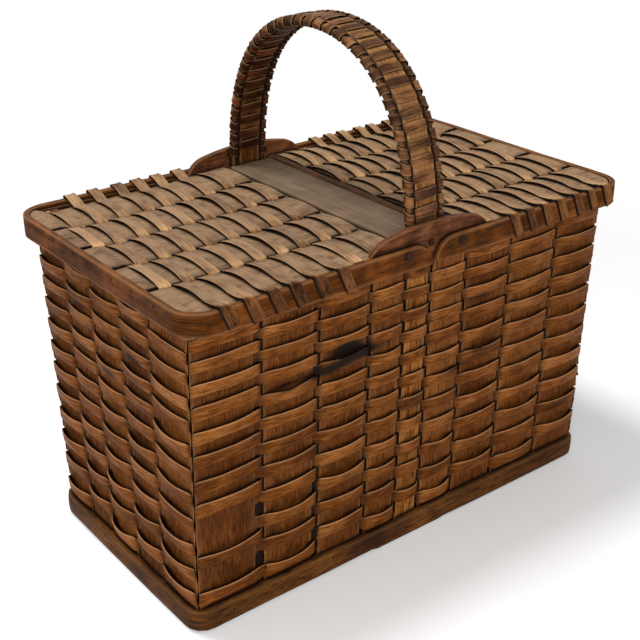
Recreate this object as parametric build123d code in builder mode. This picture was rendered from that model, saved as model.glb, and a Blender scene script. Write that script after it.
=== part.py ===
"""Splint picnic basket: a plaited box with a bentwood handle and two hinged lids.

Frame: millimetres, +Z up. X runs along the basket, Y across it, and the front side is -Y. The origin
is the middle of the footprint, on the plane that the basket stands on. The left lid is at -X.
"""

from build123d import *
import math
import os

# Walls: half sizes run to the middle of the upright splints
half_length = 216.3
half_width_top = 116.2
half_width_bottom = 107.2
wall_top = 284.0
upright_thickness = 1.2
long_wall_slit = 4.6
end_wall_slit = 3.4
upright_corner_gap = 2.8
upright_foot = 2.2
upright_head_gap = 0.4
left_upright_widths = (62.0, 55.0, 52.0, 36.0)
right_upright_widths = (40.0, 53.0, 58.0, 54.0)
end_upright_widths = (53.0, 45.0, 46.0, 43.0, 45.0)

# Horizontal weavers of the walls, packed closer towards the rim
weaver_rows = 22
weaver_row_gap = 0.2
weaver_thickness = 1.0
weaver_rim_gap = 2.0
weaver_foot_gap = 1.4
weaver_spread = 0.42
weave_clearance = 0.2
slit_margin = 0.4

# Bentwood hoop round the foot of the walls
base_hoop_height = 21.0
base_hoop_thickness = 6.5
base_hoop_corner = 16.0
base_hoop_inside_corner = 3.3
base_hoop_clearance = 0.1

# Splints of the floor
floor_height = 3.2
floor_splint_thickness = 1.2
floor_layer_gap = 0.1
floor_end_gap = 0.3

# Rim hoops inside and outside the upright splints
rim_height = 20.0
rim_thickness = 2.6
rim_corner = 6.0
rim_clearance = 0.1
rim_leg_gap = 0.2
rim_rib_gap = 1.4

# Handle: a core strip between two ribs, bound with a splint
handle_rise = 156.0
handle_stand_off = 7.6
handle_flare_drop = 4.0
handle_shoulder_rise = 8.0
handle_fullness = 0.62
core_width = 23.0
core_thickness = 5.0
leg_thickness = 2.5
leg_foot = 6.0
rib_width = 5.6
rib_gap = 1.1
rib_foot_drop = 4.5
wrap_turns = 34
wrap_width = 7.0
wrap_thickness = 1.0
wrap_clearance = 0.2
wrap_end_gap = 7.5

# Crescent plates that carry the hinge nails
crescent_thickness = 5.0
crescent_gap = 0.2
crescent_half_length = 62.5
crescent_foot_half_length = 60.0
crescent_shoulder_x = 46.0
crescent_foot_drop = 14.0
crescent_end_rise = 2.0
crescent_shoulder_rise = 15.0
crescent_rise = 20.0

# Nails, and the hinge bars that they hold
pivot_past_board = 6.5
pivot_drop = 0.5
nail_radius = 1.5
nail_head_radius = 2.9
nail_head_thickness = 1.3
nail_head_facets = 8
nail_fit = 0.02
pivot_clearance = 0.08
nail_in_bar = 12.0
nail_tip_gap = 0.5
crescent_nail_rise = 2.5
crescent_nail_side = 2.4
crescent_nail_in_core = 4.0
hinge_rod_radius = 5.0
hinge_strip_inner = 4.5
hinge_strip_outer = 6.0
hinge_strip_below = 2.7
hinge_strip_above = 1.8
hinge_relief_side_gap = 2.0
hinge_relief_floor_gap = 1.3
bar_end_gap = 0.3

# Board across the middle, between the lids
board_width = 44.0
board_thickness = 4.0
board_end_gap = 1.2
board_edge = 0.8

# Lids: a bent band on three sides, a thin hoop inside it, and a woven panel
lid_overhang = 11.7
lid_rise = 6.0
lid_band_height = 20.5
lid_band_thickness = 5.0
lid_corner = 24.0
lid_side_clearance = 0.3
ear_end = 3.0
ear_round = 17.0
inner_hoop_thickness = 2.4
inner_hoop_height = 12.0
inner_hoop_drop = 2.2
inner_hoop_end = 70.0

# Weave of a lid: wide strips lengthways, narrow weavers across
lid_strips = 5
lid_strip_thickness = 1.2
lid_strip_slit = 3.0
lid_strip_drop = 4.0
lid_strip_end_gap = 0.2
left_strips_past_pivot = -1.5
lid_weave_side_gap = 1.8
lid_weave_end_gap = 8.0
lid_weaver_gap = 0.8
lid_weaver_thickness = 1.0
lid_weave_clearance = 0.1
lid_weaver_tail = 0.8
left_weavers = 17
left_front_wraps = range(1, 12, 2)
left_back_wraps = range(3, 14, 2)
right_weavers = 19
right_wraps = range(1, 14, 2)
wrap_reach = 18.5
wrap_slope_start = 0.9
wrap_slope_run = 24.0

OUTSIDE = 1
INSIDE = -1

# Sizes that follow from the ones above
rim_bottom = wall_top - rim_height
weaver_top = rim_bottom - weaver_rim_gap
weaver_bottom = base_hoop_height + weaver_foot_gap
tightest_pitch = (weaver_top - weaver_bottom) / (weaver_rows * (1 + weaver_spread / 2))
weaver_width = tightest_pitch - weaver_row_gap
handle_top = wall_top + handle_rise
handle_half_span = half_width_top + handle_stand_off
handle_flare_end = wall_top - handle_flare_drop
handle_shoulder = wall_top + handle_shoulder_rise
rib_foot = wall_top - rib_foot_drop
crescent_foot = wall_top - crescent_foot_drop
crescent_end_height = wall_top + crescent_end_rise
crescent_shoulder_height = wall_top + crescent_shoulder_rise
crescent_top = wall_top + crescent_rise
crescent_nail_height = wall_top + crescent_nail_rise
pivot_x = board_width / 2 + pivot_past_board
pivot_height = wall_top - pivot_drop
hinge_relief_half_length = hinge_rod_radius + hinge_relief_side_gap
hinge_relief_depth = pivot_drop + hinge_rod_radius + hinge_relief_floor_gap
lid_end = half_length + lid_overhang
lid_top = wall_top + lid_rise
lid_strip_height = lid_top - lid_strip_drop
crescent_inside = handle_half_span + wrap_clearance + wrap_thickness + crescent_gap
crescent_outside = crescent_inside + crescent_thickness
band_inside = crescent_outside + lid_side_clearance
band_outside = band_inside + lid_band_thickness
handle_half_width = core_width / 2 + rib_gap + rib_width + wrap_clearance + wrap_thickness
lid_weave_half_width = crescent_inside - lid_weave_side_gap


def half_width_at(height):
    """Half the width between the middles of the long walls at a height."""
    return half_width_bottom + (half_width_top - half_width_bottom) * height / wall_top


def spread(widths, start, end, slit):
    """Spans of splints side by side from start to end, in proportion to the widths, with slits."""
    scale = (end - start + slit) / sum(widths)
    spans = []
    for width in widths:
        spans.append((start, start + width * scale - slit))
        start += width * scale
    return spans


def reflected(spans):
    """The same spans met from the other end."""
    return [(-end, -start) for start, end in reversed(spans)]


leg_span = (-core_width / 2, core_width / 2)
long_wall_reach = half_length - upright_corner_gap
left_spans = spread(
    left_upright_widths, -long_wall_reach, leg_span[0] - long_wall_slit, long_wall_slit
)
right_spans = spread(
    right_upright_widths, leg_span[1] + long_wall_slit, long_wall_reach, long_wall_slit
)
long_wall_spans = left_spans + [leg_span] + right_spans
end_wall_reach = half_width_top - upright_corner_gap
end_wall_spans = spread(end_upright_widths, -end_wall_reach, end_wall_reach, end_wall_slit)


def band_edges(points, thickness, closed=False):
    """Both edges of a band of one thickness along its middle line, with mitred corners."""
    left, right = [], []
    for index, (u, v) in enumerate(points):
        neighbours = []
        if closed or index > 0:
            neighbours.append((points[index - 1], (u, v)))
        if closed or index < len(points) - 1:
            neighbours.append(((u, v), points[(index + 1) % len(points)]))
        normals = []
        for (u0, v0), (u1, v1) in neighbours:
            length = math.hypot(u1 - u0, v1 - v0)
            normals.append(((v0 - v1) / length, (u1 - u0) / length))
        mitre_u = sum(normal[0] for normal in normals)
        mitre_v = sum(normal[1] for normal in normals)
        reach = thickness / 2 / (mitre_u * normals[0][0] + mitre_v * normals[0][1])
        left.append((u + mitre_u * reach, v + mitre_v * reach))
        right.append((u - mitre_u * reach, v - mitre_v * reach))
    return left, right


def weave_line(spans, level, offset, first_side):
    """Middle line of a splint that passes in turn above and below the spans, at level +- offset."""
    points = []
    side = first_side
    for start, end in spans:
        points.append((start - slit_margin, level + side * offset))
        points.append((end + slit_margin, level + side * offset))
        side = -side
    return points


def wall_weaver_line(height, first_side):
    """Closed middle line of one weaver at a height, round the four walls from the front left corner."""
    half_width = half_width_at(height)
    squeeze = half_width / half_width_top
    end_spans = [(start * squeeze, end * squeeze) for start, end in end_wall_spans]
    walls = (
        (long_wall_spans, half_length, lambda run, out: (run, -half_width - out)),
        (end_spans, half_width, lambda run, out: (half_length + out, run)),
        (reflected(long_wall_spans), half_length, lambda run, out: (-run, half_width + out)),
        (reflected(end_spans), half_width, lambda run, out: (-half_length - out, -run)),
    )
    weaver_offset = upright_thickness / 2 + weave_clearance + weaver_thickness / 2
    points = []
    side = first_side
    for spans, corner, place in walls:
        for index, (start, end) in enumerate(spans):
            first, last = start - slit_margin, end + slit_margin
            offset = weaver_offset
            if side == INSIDE and (start, end) == leg_span:
                offset += leg_thickness - upright_thickness
            if side == OUTSIDE and index == 0:
                first = -corner
            if side == OUTSIDE and index == len(spans) - 1:
                last = corner
            points.append(place(first, side * offset))
            points.append(place(last, side * offset))
            side = -side
    return points


def disc(x, height, radius, distance=0):
    """Round profile that faces the front, at a distance in front of the middle of the basket."""
    with BuildSketch(Plane.XZ.offset(distance)) as profile:
        with Locations((x, height)):
            Circle(radius)
    return profile.sketch


def square(x, height, side, distance=0):
    """Square profile that faces the front, at a distance in front of the middle of the basket."""
    with BuildSketch(Plane.XZ.offset(distance)) as profile:
        with Locations((x, height)):
            Rectangle(side, side)
    return profile.sketch


def nail_head(x, height, distance):
    """Outline of a hand-forged nail head that faces the front."""
    with BuildSketch(Plane.XZ.offset(distance)) as profile:
        with Locations((x, height)):
            RegularPolygon(nail_head_radius, nail_head_facets)
    return profile.sketch


def cut_hinge_relief():
    """Notches the upper edge of the part that is being built, where the hinge bars lie."""
    with Locations((-pivot_x, 0, wall_top), (pivot_x, 0, wall_top)):
        Box(
            2 * hinge_relief_half_length, 4 * half_width_top, 2 * hinge_relief_depth, mode=Mode.SUBTRACT
        )


def cut_nail_holes(profile):
    """Bores the part that is being built from a profile outwards, and the same at the back."""
    hole = extrude(profile, amount=half_length, mode=Mode.SUBTRACT)
    mirror(hole, about=Plane.XZ, mode=Mode.SUBTRACT)


os.makedirs("parts", exist_ok=True)


# Upright splints of the long walls, which lean out towards the rim
lean = math.atan2(half_width_top - half_width_bottom, wall_top)
front_wall_plane = Plane(
    origin=(0, -half_width_bottom, 0), x_dir=(1, 0, 0), z_dir=(0, -math.cos(lean), -math.sin(lean))
)
with BuildPart() as front_uprights:
    foot, head = upright_foot / math.cos(lean), (wall_top - upright_head_gap) / math.cos(lean)
    with BuildSketch(front_wall_plane):
        for start, end in left_spans + right_spans:
            with Locations(((start + end) / 2, (foot + head) / 2)):
                Rectangle(end - start, head - foot)
    extrude(amount=upright_thickness / 2, both=True)
    cut_hinge_relief()
front_uprights.part.label = "front_uprights"
export_step(front_uprights.part, "parts/front_uprights.step")

with BuildPart() as back_uprights:
    mirror(front_uprights.part, about=Plane.XZ)
back_uprights.part.label = "back_uprights"
export_step(back_uprights.part, "parts/back_uprights.step")


# Upright splints of the end walls, narrower towards the foot
with BuildPart() as right_uprights:
    foot_squeeze = half_width_at(upright_foot) / half_width_top
    with BuildSketch(Plane(origin=(half_length, 0, 0), x_dir=(0, 1, 0), z_dir=(1, 0, 0))):
        for start, end in end_wall_spans:
            with BuildLine():
                Polyline(
                    (start * foot_squeeze, upright_foot),
                    (end * foot_squeeze, upright_foot),
                    (end, wall_top - upright_head_gap),
                    (start, wall_top - upright_head_gap),
                    close=True,
                )
            make_face()
    extrude(amount=upright_thickness / 2, both=True)
right_uprights.part.label = "right_uprights"
export_step(right_uprights.part, "parts/right_uprights.step")

with BuildPart() as left_uprights:
    mirror(right_uprights.part, about=Plane.YZ)
left_uprights.part.label = "left_uprights"
export_step(left_uprights.part, "parts/left_uprights.step")


# Wall weavers: each row is a closed splint, out over one upright and in behind the next
with BuildPart() as wall_weavers:
    row_top = weaver_top
    row_side = OUTSIDE
    for row in range(weaver_rows):
        row_bottom = row_top - weaver_width
        middle_line = wall_weaver_line(row_top - weaver_width / 2, row_side)
        inner_edge, outer_edge = band_edges(middle_line, weaver_thickness, closed=True)
        with BuildSketch(Plane.XY.offset(row_bottom)):
            with BuildLine():
                Polyline(*outer_edge, close=True)
            make_face()
            with BuildLine():
                Polyline(*inner_edge, close=True)
            make_face(mode=Mode.SUBTRACT)
        row_top -= tightest_pitch * (1 + weaver_spread * row / (weaver_rows - 1))
        row_side = -row_side
    extrude(amount=weaver_width)
wall_weavers.part.label = "wall_weavers"
export_step(wall_weavers.part, "parts/wall_weavers.step")


# Floor: lengthways splints on top of crossways ones
floor_squeeze = half_width_at(floor_height) / half_width_top
floor_half_length = half_length - upright_thickness / 2 - floor_end_gap
floor_half_width = half_width_at(0) - upright_thickness / 2 - floor_end_gap
with BuildPart() as floor_long_splints:
    with BuildSketch(Plane.XY.offset(floor_height + floor_layer_gap / 2)):
        for start, end in end_wall_spans:
            with Locations((0, (start + end) / 2 * floor_squeeze)):
                Rectangle(2 * floor_half_length, (end - start) * floor_squeeze)
    extrude(amount=floor_splint_thickness)
floor_long_splints.part.label = "floor_long_splints"
export_step(floor_long_splints.part, "parts/floor_long_splints.step")

with BuildPart() as floor_cross_splints:
    with BuildSketch(Plane.XY.offset(floor_height - floor_layer_gap / 2)):
        for start, end in long_wall_spans:
            with Locations(((start + end) / 2, 0)):
                Rectangle(end - start, 2 * floor_half_width)
    extrude(amount=-floor_splint_thickness)
floor_cross_splints.part.label = "floor_cross_splints"
export_step(floor_cross_splints.part, "parts/floor_cross_splints.step")


# Hoop round the foot of the walls
with BuildPart() as base_hoop:
    inside_length = half_length + upright_thickness / 2 + base_hoop_clearance
    inside_width = half_width_at(base_hoop_height) + upright_thickness / 2 + base_hoop_clearance
    with BuildSketch():
        outer_length, outer_width = inside_length + base_hoop_thickness, inside_width + base_hoop_thickness
        RectangleRounded(2 * outer_length, 2 * outer_width, base_hoop_corner)
        RectangleRounded(
            2 * inside_length, 2 * inside_width, base_hoop_inside_corner, mode=Mode.SUBTRACT
        )
    extrude(amount=base_hoop_height)
base_hoop.part.label = "base_hoop"
export_step(base_hoop.part, "parts/base_hoop.step")


# Rim hoop inside the uprights, with a notch for each leg of the handle
with BuildPart() as inner_rim_hoop:
    rim_length = half_length - upright_thickness / 2 - rim_clearance
    rim_width = half_width_at(rim_bottom) - upright_thickness / 2 - rim_clearance
    notch_width = half_width_at(rim_bottom) - leg_thickness + upright_thickness / 2 - rim_clearance
    with BuildSketch(Plane.XY.offset(rim_bottom)):
        RectangleRounded(2 * rim_length, 2 * rim_width, rim_corner)
        RectangleRounded(
            2 * (rim_length - rim_thickness), 2 * (rim_width - rim_thickness), rim_corner - rim_thickness,
            mode=Mode.SUBTRACT,
        )
        with Locations((0, -notch_width - rim_width), (0, notch_width + rim_width)):
            Rectangle(core_width + 2 * rim_leg_gap, 2 * rim_width, mode=Mode.SUBTRACT)
    extrude(amount=rim_height)
    cut_hinge_relief()
inner_rim_hoop.part.label = "inner_rim_hoop"
export_step(inner_rim_hoop.part, "parts/inner_rim_hoop.step")


# Rim hoops outside the uprights, one for each side of the handle
with BuildPart() as right_rim_hoop:
    rim_length = half_length + upright_thickness / 2 + rim_clearance
    rim_width = half_width_top + upright_thickness / 2 + rim_clearance
    with BuildSketch(Plane.XY.offset(rim_bottom)):
        RectangleRounded(
            2 * (rim_length + rim_thickness), 2 * (rim_width + rim_thickness), rim_corner
        )
        RectangleRounded(2 * rim_length, 2 * rim_width, rim_corner - rim_thickness, mode=Mode.SUBTRACT)
        with Locations((-half_length, 0)):
            Rectangle(
                2 * (half_length + handle_half_width + rim_rib_gap), 4 * half_width_top, mode=Mode.SUBTRACT
            )
    extrude(amount=rim_height)
    cut_hinge_relief()
right_rim_hoop.part.label = "right_rim_hoop"
export_step(right_rim_hoop.part, "parts/right_rim_hoop.step")

with BuildPart() as left_rim_hoop:
    mirror(right_rim_hoop.part, about=Plane.YZ)
left_rim_hoop.part.label = "left_rim_hoop"
export_step(left_rim_hoop.part, "parts/left_rim_hoop.step")


def handle_outline(inset, leg_inset):
    """Half of a bent strip's edge seen from the side: up a leg, out at the rim and over to the top."""
    leg_face = upright_thickness / 2 - leg_inset
    span, top = handle_half_span - inset, handle_top - inset
    rise = handle_fullness * (top - handle_shoulder)
    Polyline(
        (half_width_at(leg_foot) + leg_face, leg_foot),
        (half_width_at(rim_bottom) + leg_face, rim_bottom),
        (span, handle_flare_end),
        (span, handle_shoulder),
    )
    Bezier(
        (span, handle_shoulder), (span, handle_shoulder + rise), (handle_fullness * span, top), (0, top)
    )


def handle_profile(x):
    """The handle seen from the side, both legs and the arch, as a face at x."""
    with BuildSketch(Plane.YZ.offset(x)) as profile:
        with BuildLine():
            handle_outline(0, 0)
            handle_outline(core_thickness, leg_thickness)
            foot = half_width_at(leg_foot) + upright_thickness / 2
            Line((foot, leg_foot), (foot - leg_thickness, leg_foot))
            Line((0, handle_top), (0, handle_top - core_thickness))
        make_face()
        mirror(about=Plane.YZ)
    return profile.sketch


# Handle core: one bent strip, shaved thin where it is woven into the walls
with BuildPart() as handle_core:
    extrude(handle_profile(0), amount=core_width / 2, both=True)
    nail_hole_bottom = handle_half_span - crescent_nail_in_core - nail_tip_gap
    cut_nail_holes(square(0, crescent_nail_height, crescent_nail_side + 2 * nail_fit, nail_hole_bottom))
handle_core.part.label = "handle_core"
export_step(handle_core.part, "parts/handle_core.step")


# Handle ribs on both sides of the core
with BuildPart() as right_handle_rib:
    extrude(handle_profile(core_width / 2 + rib_gap), amount=rib_width)
    split(bisect_by=Plane.XY.offset(rib_foot), keep=Keep.TOP)
right_handle_rib.part.label = "right_handle_rib"
export_step(right_handle_rib.part, "parts/right_handle_rib.step")

with BuildPart() as left_handle_rib:
    mirror(right_handle_rib.part, about=Plane.YZ)
left_handle_rib.part.label = "left_handle_rib"
export_step(left_handle_rib.part, "parts/left_handle_rib.step")


# Turns of the binding splint round the core and its ribs
with BuildPart() as handle_binding:
    middle_span, middle_top = handle_half_span - core_thickness / 2, handle_top - core_thickness / 2
    with BuildLine(Plane.YZ) as middle_arch:
        Bezier(
            (middle_span, handle_shoulder),
            (middle_span, handle_shoulder + handle_fullness * (middle_top - handle_shoulder)),
            (handle_fullness * middle_span, middle_top),
            (0, middle_top),
        )
        mirror(about=Plane.XZ)
    arch_wire = middle_arch.wire()
    end_share = wrap_end_gap / arch_wire.length
    opening_width = 2 * (handle_half_width - wrap_thickness)
    opening_height = core_thickness + 2 * wrap_clearance
    for turn in range(wrap_turns):
        share = end_share + (1 - 2 * end_share) * turn / (wrap_turns - 1)
        turn_plane = Plane(origin=arch_wire @ share, x_dir=(1, 0, 0), z_dir=arch_wire % share)
        with BuildSketch(turn_plane):
            Rectangle(opening_width + 2 * wrap_thickness, opening_height + 2 * wrap_thickness)
            Rectangle(opening_width, opening_height, mode=Mode.SUBTRACT)
    extrude(amount=wrap_width / 2, both=True)
handle_binding.part.label = "handle_binding"
export_step(handle_binding.part, "parts/handle_binding.step")


# Crescent plates, nailed to the handle's legs
with BuildPart() as front_crescent:
    with BuildSketch(Plane.XZ.offset(crescent_inside)):
        with BuildLine():
            shoulder = (crescent_shoulder_x, crescent_shoulder_height)
            end = (crescent_half_length, crescent_end_height)
            quarter_way = (crescent_shoulder_x / 2, (3 * crescent_top + crescent_shoulder_height) / 4)
            top_arc = ThreePointArc((0, crescent_top), quarter_way, shoulder)
            TangentArc(shoulder, end, tangent=top_arc % 1)
            Polyline(end, (crescent_foot_half_length, crescent_foot), (0, crescent_foot), (0, crescent_top))
        make_face()
        mirror(about=Plane.YZ)
        with Locations((-pivot_x, pivot_height), (pivot_x, pivot_height)):
            Circle(nail_radius + pivot_clearance, mode=Mode.SUBTRACT)
        with Locations((0, crescent_nail_height)):
            nail_hole_side = crescent_nail_side + 2 * nail_fit
            Rectangle(nail_hole_side, nail_hole_side, mode=Mode.SUBTRACT)
    extrude(amount=crescent_thickness)
front_crescent.part.label = "front_crescent"
export_step(front_crescent.part, "parts/front_crescent.step")

with BuildPart() as back_crescent:
    mirror(front_crescent.part, about=Plane.XZ)
back_crescent.part.label = "back_crescent"
export_step(back_crescent.part, "parts/back_crescent.step")


def make_nails(head, shank, length):
    """Makes a front nail from the outlines of its head and shank, and the same at the back."""
    extrude(head, amount=nail_head_thickness)
    extrude(shank, amount=-length)
    mirror(about=Plane.XZ)


with BuildPart() as crescent_nails:
    crescent_nail_length = crescent_outside - handle_half_span + crescent_nail_in_core
    make_nails(
        nail_head(0, crescent_nail_height, crescent_outside),
        square(0, crescent_nail_height, crescent_nail_side, crescent_outside),
        crescent_nail_length,
    )
crescent_nails.part.label = "crescent_nails"
export_step(crescent_nails.part, "parts/crescent_nails.step")


# Board between the lids, lying on the rim between the handle's legs
with BuildPart() as centre_board:
    board_length = 2 * (handle_half_span - core_thickness - board_end_gap)
    with BuildSketch(Plane.XY.offset(wall_top)):
        Rectangle(board_width, board_length)
    extrude(amount=board_thickness)
    chamfer(centre_board.edges().group_by(Axis.Z)[-1].filter_by(Axis.Y), board_edge)
centre_board.part.label = "centre_board"
export_step(centre_board.part, "parts/centre_board.step")


# Left lid band: bent round the end, with its arms ending in rounded ears past the hinge nails
with BuildPart() as left_lid_band:
    with BuildSketch(Plane.XY.offset(lid_top - lid_band_height)):
        for outset, mode in ((0, Mode.ADD), (lid_band_thickness, Mode.SUBTRACT)):
            half_run = lid_end - outset
            RectangleRounded(2 * half_run, 2 * (band_outside - outset), lid_corner - outset, mode=mode)
        with Locations((lid_end, 0)):
            Rectangle(2 * (lid_end + ear_end), 4 * band_outside, mode=Mode.SUBTRACT)
    extrude(amount=lid_band_height)
    ear_edges = left_lid_band.edges().filter_by(Axis.Y).group_by(Axis.X)[-1]
    fillet(ear_edges.group_by(Axis.Z)[-1], ear_round)
    cut_nail_holes(disc(-pivot_x, pivot_height, nail_radius + nail_fit))
left_lid_band.part.label = "left_lid_band"
export_step(left_lid_band.part, "parts/left_lid_band.step")

with BuildPart() as right_lid_band:
    mirror(left_lid_band.part, about=Plane.YZ)
right_lid_band.part.label = "right_lid_band"
export_step(right_lid_band.part, "parts/right_lid_band.step")


# Left inner hoop: a thin strip inside the band that holds the ends of the woven strips
hoop_end = lid_end - lid_band_thickness
with BuildPart() as left_lid_hoop:
    with BuildSketch(Plane.XY.offset(lid_top - inner_hoop_drop - inner_hoop_height)):
        for outset, mode in ((0, Mode.ADD), (inner_hoop_thickness, Mode.SUBTRACT)):
            half_run = hoop_end - outset
            corner = lid_corner - lid_band_thickness - outset
            RectangleRounded(2 * half_run, 2 * (band_inside - outset), corner, mode=mode)
        with Locations((lid_end, 0)):
            Rectangle(2 * (lid_end + inner_hoop_end), 4 * band_outside, mode=Mode.SUBTRACT)
    extrude(amount=inner_hoop_height)
left_lid_hoop.part.label = "left_lid_hoop"
export_step(left_lid_hoop.part, "parts/left_lid_hoop.step")

with BuildPart() as right_lid_hoop:
    mirror(left_lid_hoop.part, about=Plane.YZ)
right_lid_hoop.part.label = "right_lid_hoop"
export_step(right_lid_hoop.part, "parts/right_lid_hoop.step")


# Woven panel of a lid
panel_end = hoop_end - inner_hoop_thickness - lid_strip_end_gap
panel_corner = lid_corner - lid_band_thickness - inner_hoop_thickness - lid_strip_end_gap
panel_half_width = band_inside - inner_hoop_thickness - lid_strip_end_gap
strip_spans = spread((1,) * lid_strips, -lid_weave_half_width, lid_weave_half_width, lid_strip_slit)


def lid_strips_profile(inner_end):
    """Wide strips of the left lid, from its end hoop to a distance from the middle of the basket."""
    with BuildSketch(Plane.XY.offset(lid_strip_height - lid_strip_thickness / 2)) as profile:
        for start, end in strip_spans:
            with Locations((-(panel_end + inner_end) / 2, (start + end) / 2)):
                Rectangle(panel_end - inner_end, end - start)
        RectangleRounded(2 * panel_end, 2 * panel_half_width, panel_corner, mode=Mode.INTERSECT)
    return profile.sketch


def weaver_tail(is_wrapped, level):
    """End of a lid weaver at the side. A wrapped one runs up, over the band and down its outside."""
    if not is_wrapped:
        return [(lid_weave_half_width + lid_weaver_tail, level)]
    lift = lid_weave_clearance + lid_weaver_thickness / 2
    slope_end = band_inside - wrap_slope_start
    return [
        (slope_end - wrap_slope_run, level),
        (slope_end, lid_top + lift),
        (band_outside + lift, lid_top + lift),
        (band_outside + lift, lid_top - wrap_reach),
    ]


def make_lid_weavers(inner_end, weavers, front_wraps, back_wraps):
    """Makes the narrow weavers of the left lid, counted from its outer end."""
    offset = lid_strip_thickness / 2 + lid_weave_clearance + lid_weaver_thickness / 2
    outer_end = panel_end - lid_weave_end_gap
    pitch = (outer_end - inner_end) / weavers
    profiles = []
    for weaver in range(weavers):
        side = INSIDE if weaver % 2 == 0 else OUTSIDE
        line = weave_line(strip_spans, lid_strip_height, offset, side)
        front_tail = weaver_tail(weaver in front_wraps, line[0][1])
        back_tail = weaver_tail(weaver in back_wraps, line[-1][1])
        line = [(-u, v) for u, v in reversed(front_tail)] + line[1:-1] + back_tail
        upper_edge, lower_edge = band_edges(line, lid_weaver_thickness)
        with BuildSketch(Plane.YZ.offset(weaver * pitch - outer_end)) as profile:
            with BuildLine():
                Polyline(*upper_edge, *reversed(lower_edge), close=True)
            make_face()
        profiles.extend(profile.sketch.faces())
    extrude(profiles, amount=pitch - lid_weaver_gap)


with BuildPart() as left_lid_strips:
    extrude(lid_strips_profile(pivot_x + left_strips_past_pivot), amount=lid_strip_thickness)
left_lid_strips.part.label = "left_lid_strips"
export_step(left_lid_strips.part, "parts/left_lid_strips.step")

with BuildPart() as left_lid_weavers:
    weave_end = pivot_x + hinge_strip_outer + lid_strip_end_gap
    make_lid_weavers(weave_end, left_weavers, left_front_wraps, left_back_wraps)
left_lid_weavers.part.label = "left_lid_weavers"
export_step(left_lid_weavers.part, "parts/left_lid_weavers.step")

with BuildPart() as right_lid_strips:
    extrude(lid_strips_profile(pivot_x + hinge_rod_radius + lid_strip_end_gap), amount=lid_strip_thickness)
    mirror(about=Plane.YZ, mode=Mode.REPLACE)
right_lid_strips.part.label = "right_lid_strips"
export_step(right_lid_strips.part, "parts/right_lid_strips.step")

with BuildPart() as right_lid_weavers:
    weave_end = pivot_x + hinge_rod_radius + lid_strip_end_gap
    make_lid_weavers(weave_end, right_weavers, right_wraps, right_wraps)
    mirror(about=Plane.YZ, mode=Mode.REPLACE)
right_lid_weavers.part.label = "right_lid_weavers"
export_step(right_lid_weavers.part, "parts/right_lid_weavers.step")


# Hinge bars along the inner edges of the lids: a flat strip on the left, a round rod on the right
bar_length = 2 * (crescent_inside - bar_end_gap)
bar_hole_bottom = bar_length / 2 - nail_in_bar - nail_tip_gap

with BuildPart() as left_hinge_strip:
    with BuildSketch(Plane.XZ):
        strip_middle = (
            -pivot_x + (hinge_strip_inner - hinge_strip_outer) / 2,
            pivot_height + (hinge_strip_above - hinge_strip_below) / 2,
        )
        with Locations(strip_middle):
            Rectangle(hinge_strip_inner + hinge_strip_outer, hinge_strip_above + hinge_strip_below)
    extrude(amount=bar_length / 2, both=True)
    cut_nail_holes(disc(-pivot_x, pivot_height, nail_radius + nail_fit, bar_hole_bottom))
left_hinge_strip.part.label = "left_hinge_strip"
export_step(left_hinge_strip.part, "parts/left_hinge_strip.step")

with BuildPart() as right_hinge_rod:
    extrude(disc(pivot_x, pivot_height, hinge_rod_radius), amount=bar_length / 2, both=True)
    cut_nail_holes(disc(pivot_x, pivot_height, nail_radius + nail_fit, bar_hole_bottom))
right_hinge_rod.part.label = "right_hinge_rod"
export_step(right_hinge_rod.part, "parts/right_hinge_rod.step")


# Hinge nails through ear, crescent and bar end
pivot_nail_length = band_outside - bar_length / 2 + nail_in_bar
with BuildPart() as left_pivot_nails:
    make_nails(
        nail_head(-pivot_x, pivot_height, band_outside),
        disc(-pivot_x, pivot_height, nail_radius, band_outside),
        pivot_nail_length,
    )
left_pivot_nails.part.label = "left_pivot_nails"
export_step(left_pivot_nails.part, "parts/left_pivot_nails.step")

with BuildPart() as right_pivot_nails:
    make_nails(
        nail_head(pivot_x, pivot_height, band_outside),
        disc(pivot_x, pivot_height, nail_radius, band_outside),
        pivot_nail_length,
    )
right_pivot_nails.part.label = "right_pivot_nails"
export_step(right_pivot_nails.part, "parts/right_pivot_nails.step")
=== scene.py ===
"""Looks of a splint picnic basket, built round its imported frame.

The scene is in metres with +Z up. The sizes in the classes are in millimetres, from the same frame:
X runs along the basket, Y across it, and the front is at -Y. The left lid is at -X.
"""

import logging
import math
from dataclasses import dataclass, field
from enum import Enum
from functools import partial
from typing import ClassVar, NamedTuple

import bpy
import numpy as np
from mathutils import Matrix, Vector


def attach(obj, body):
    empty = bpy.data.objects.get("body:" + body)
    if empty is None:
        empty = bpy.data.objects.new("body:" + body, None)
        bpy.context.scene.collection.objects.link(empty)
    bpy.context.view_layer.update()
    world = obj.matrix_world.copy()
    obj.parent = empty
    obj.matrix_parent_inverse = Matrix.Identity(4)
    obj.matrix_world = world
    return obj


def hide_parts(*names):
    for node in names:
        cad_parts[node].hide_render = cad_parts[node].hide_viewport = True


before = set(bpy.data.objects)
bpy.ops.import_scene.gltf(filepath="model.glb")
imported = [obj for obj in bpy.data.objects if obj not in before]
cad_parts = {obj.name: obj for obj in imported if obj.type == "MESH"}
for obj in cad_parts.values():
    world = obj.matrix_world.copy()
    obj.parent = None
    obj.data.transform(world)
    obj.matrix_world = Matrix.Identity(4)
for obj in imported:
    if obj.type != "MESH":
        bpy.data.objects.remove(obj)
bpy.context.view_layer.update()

MM = 0.001
PER_METRE = 1000
LOG = logging.getLogger("basket")
UP = np.array((0.0, 0.0, 1.0))
# Angles between faces from which an edge stays sharp, or is rounded by wear
SHARP_ANGLE, WORN_ANGLE = math.radians(50), math.radians(40)
# Points nearer than this are one point
WELD_MM = 0.01
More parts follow.
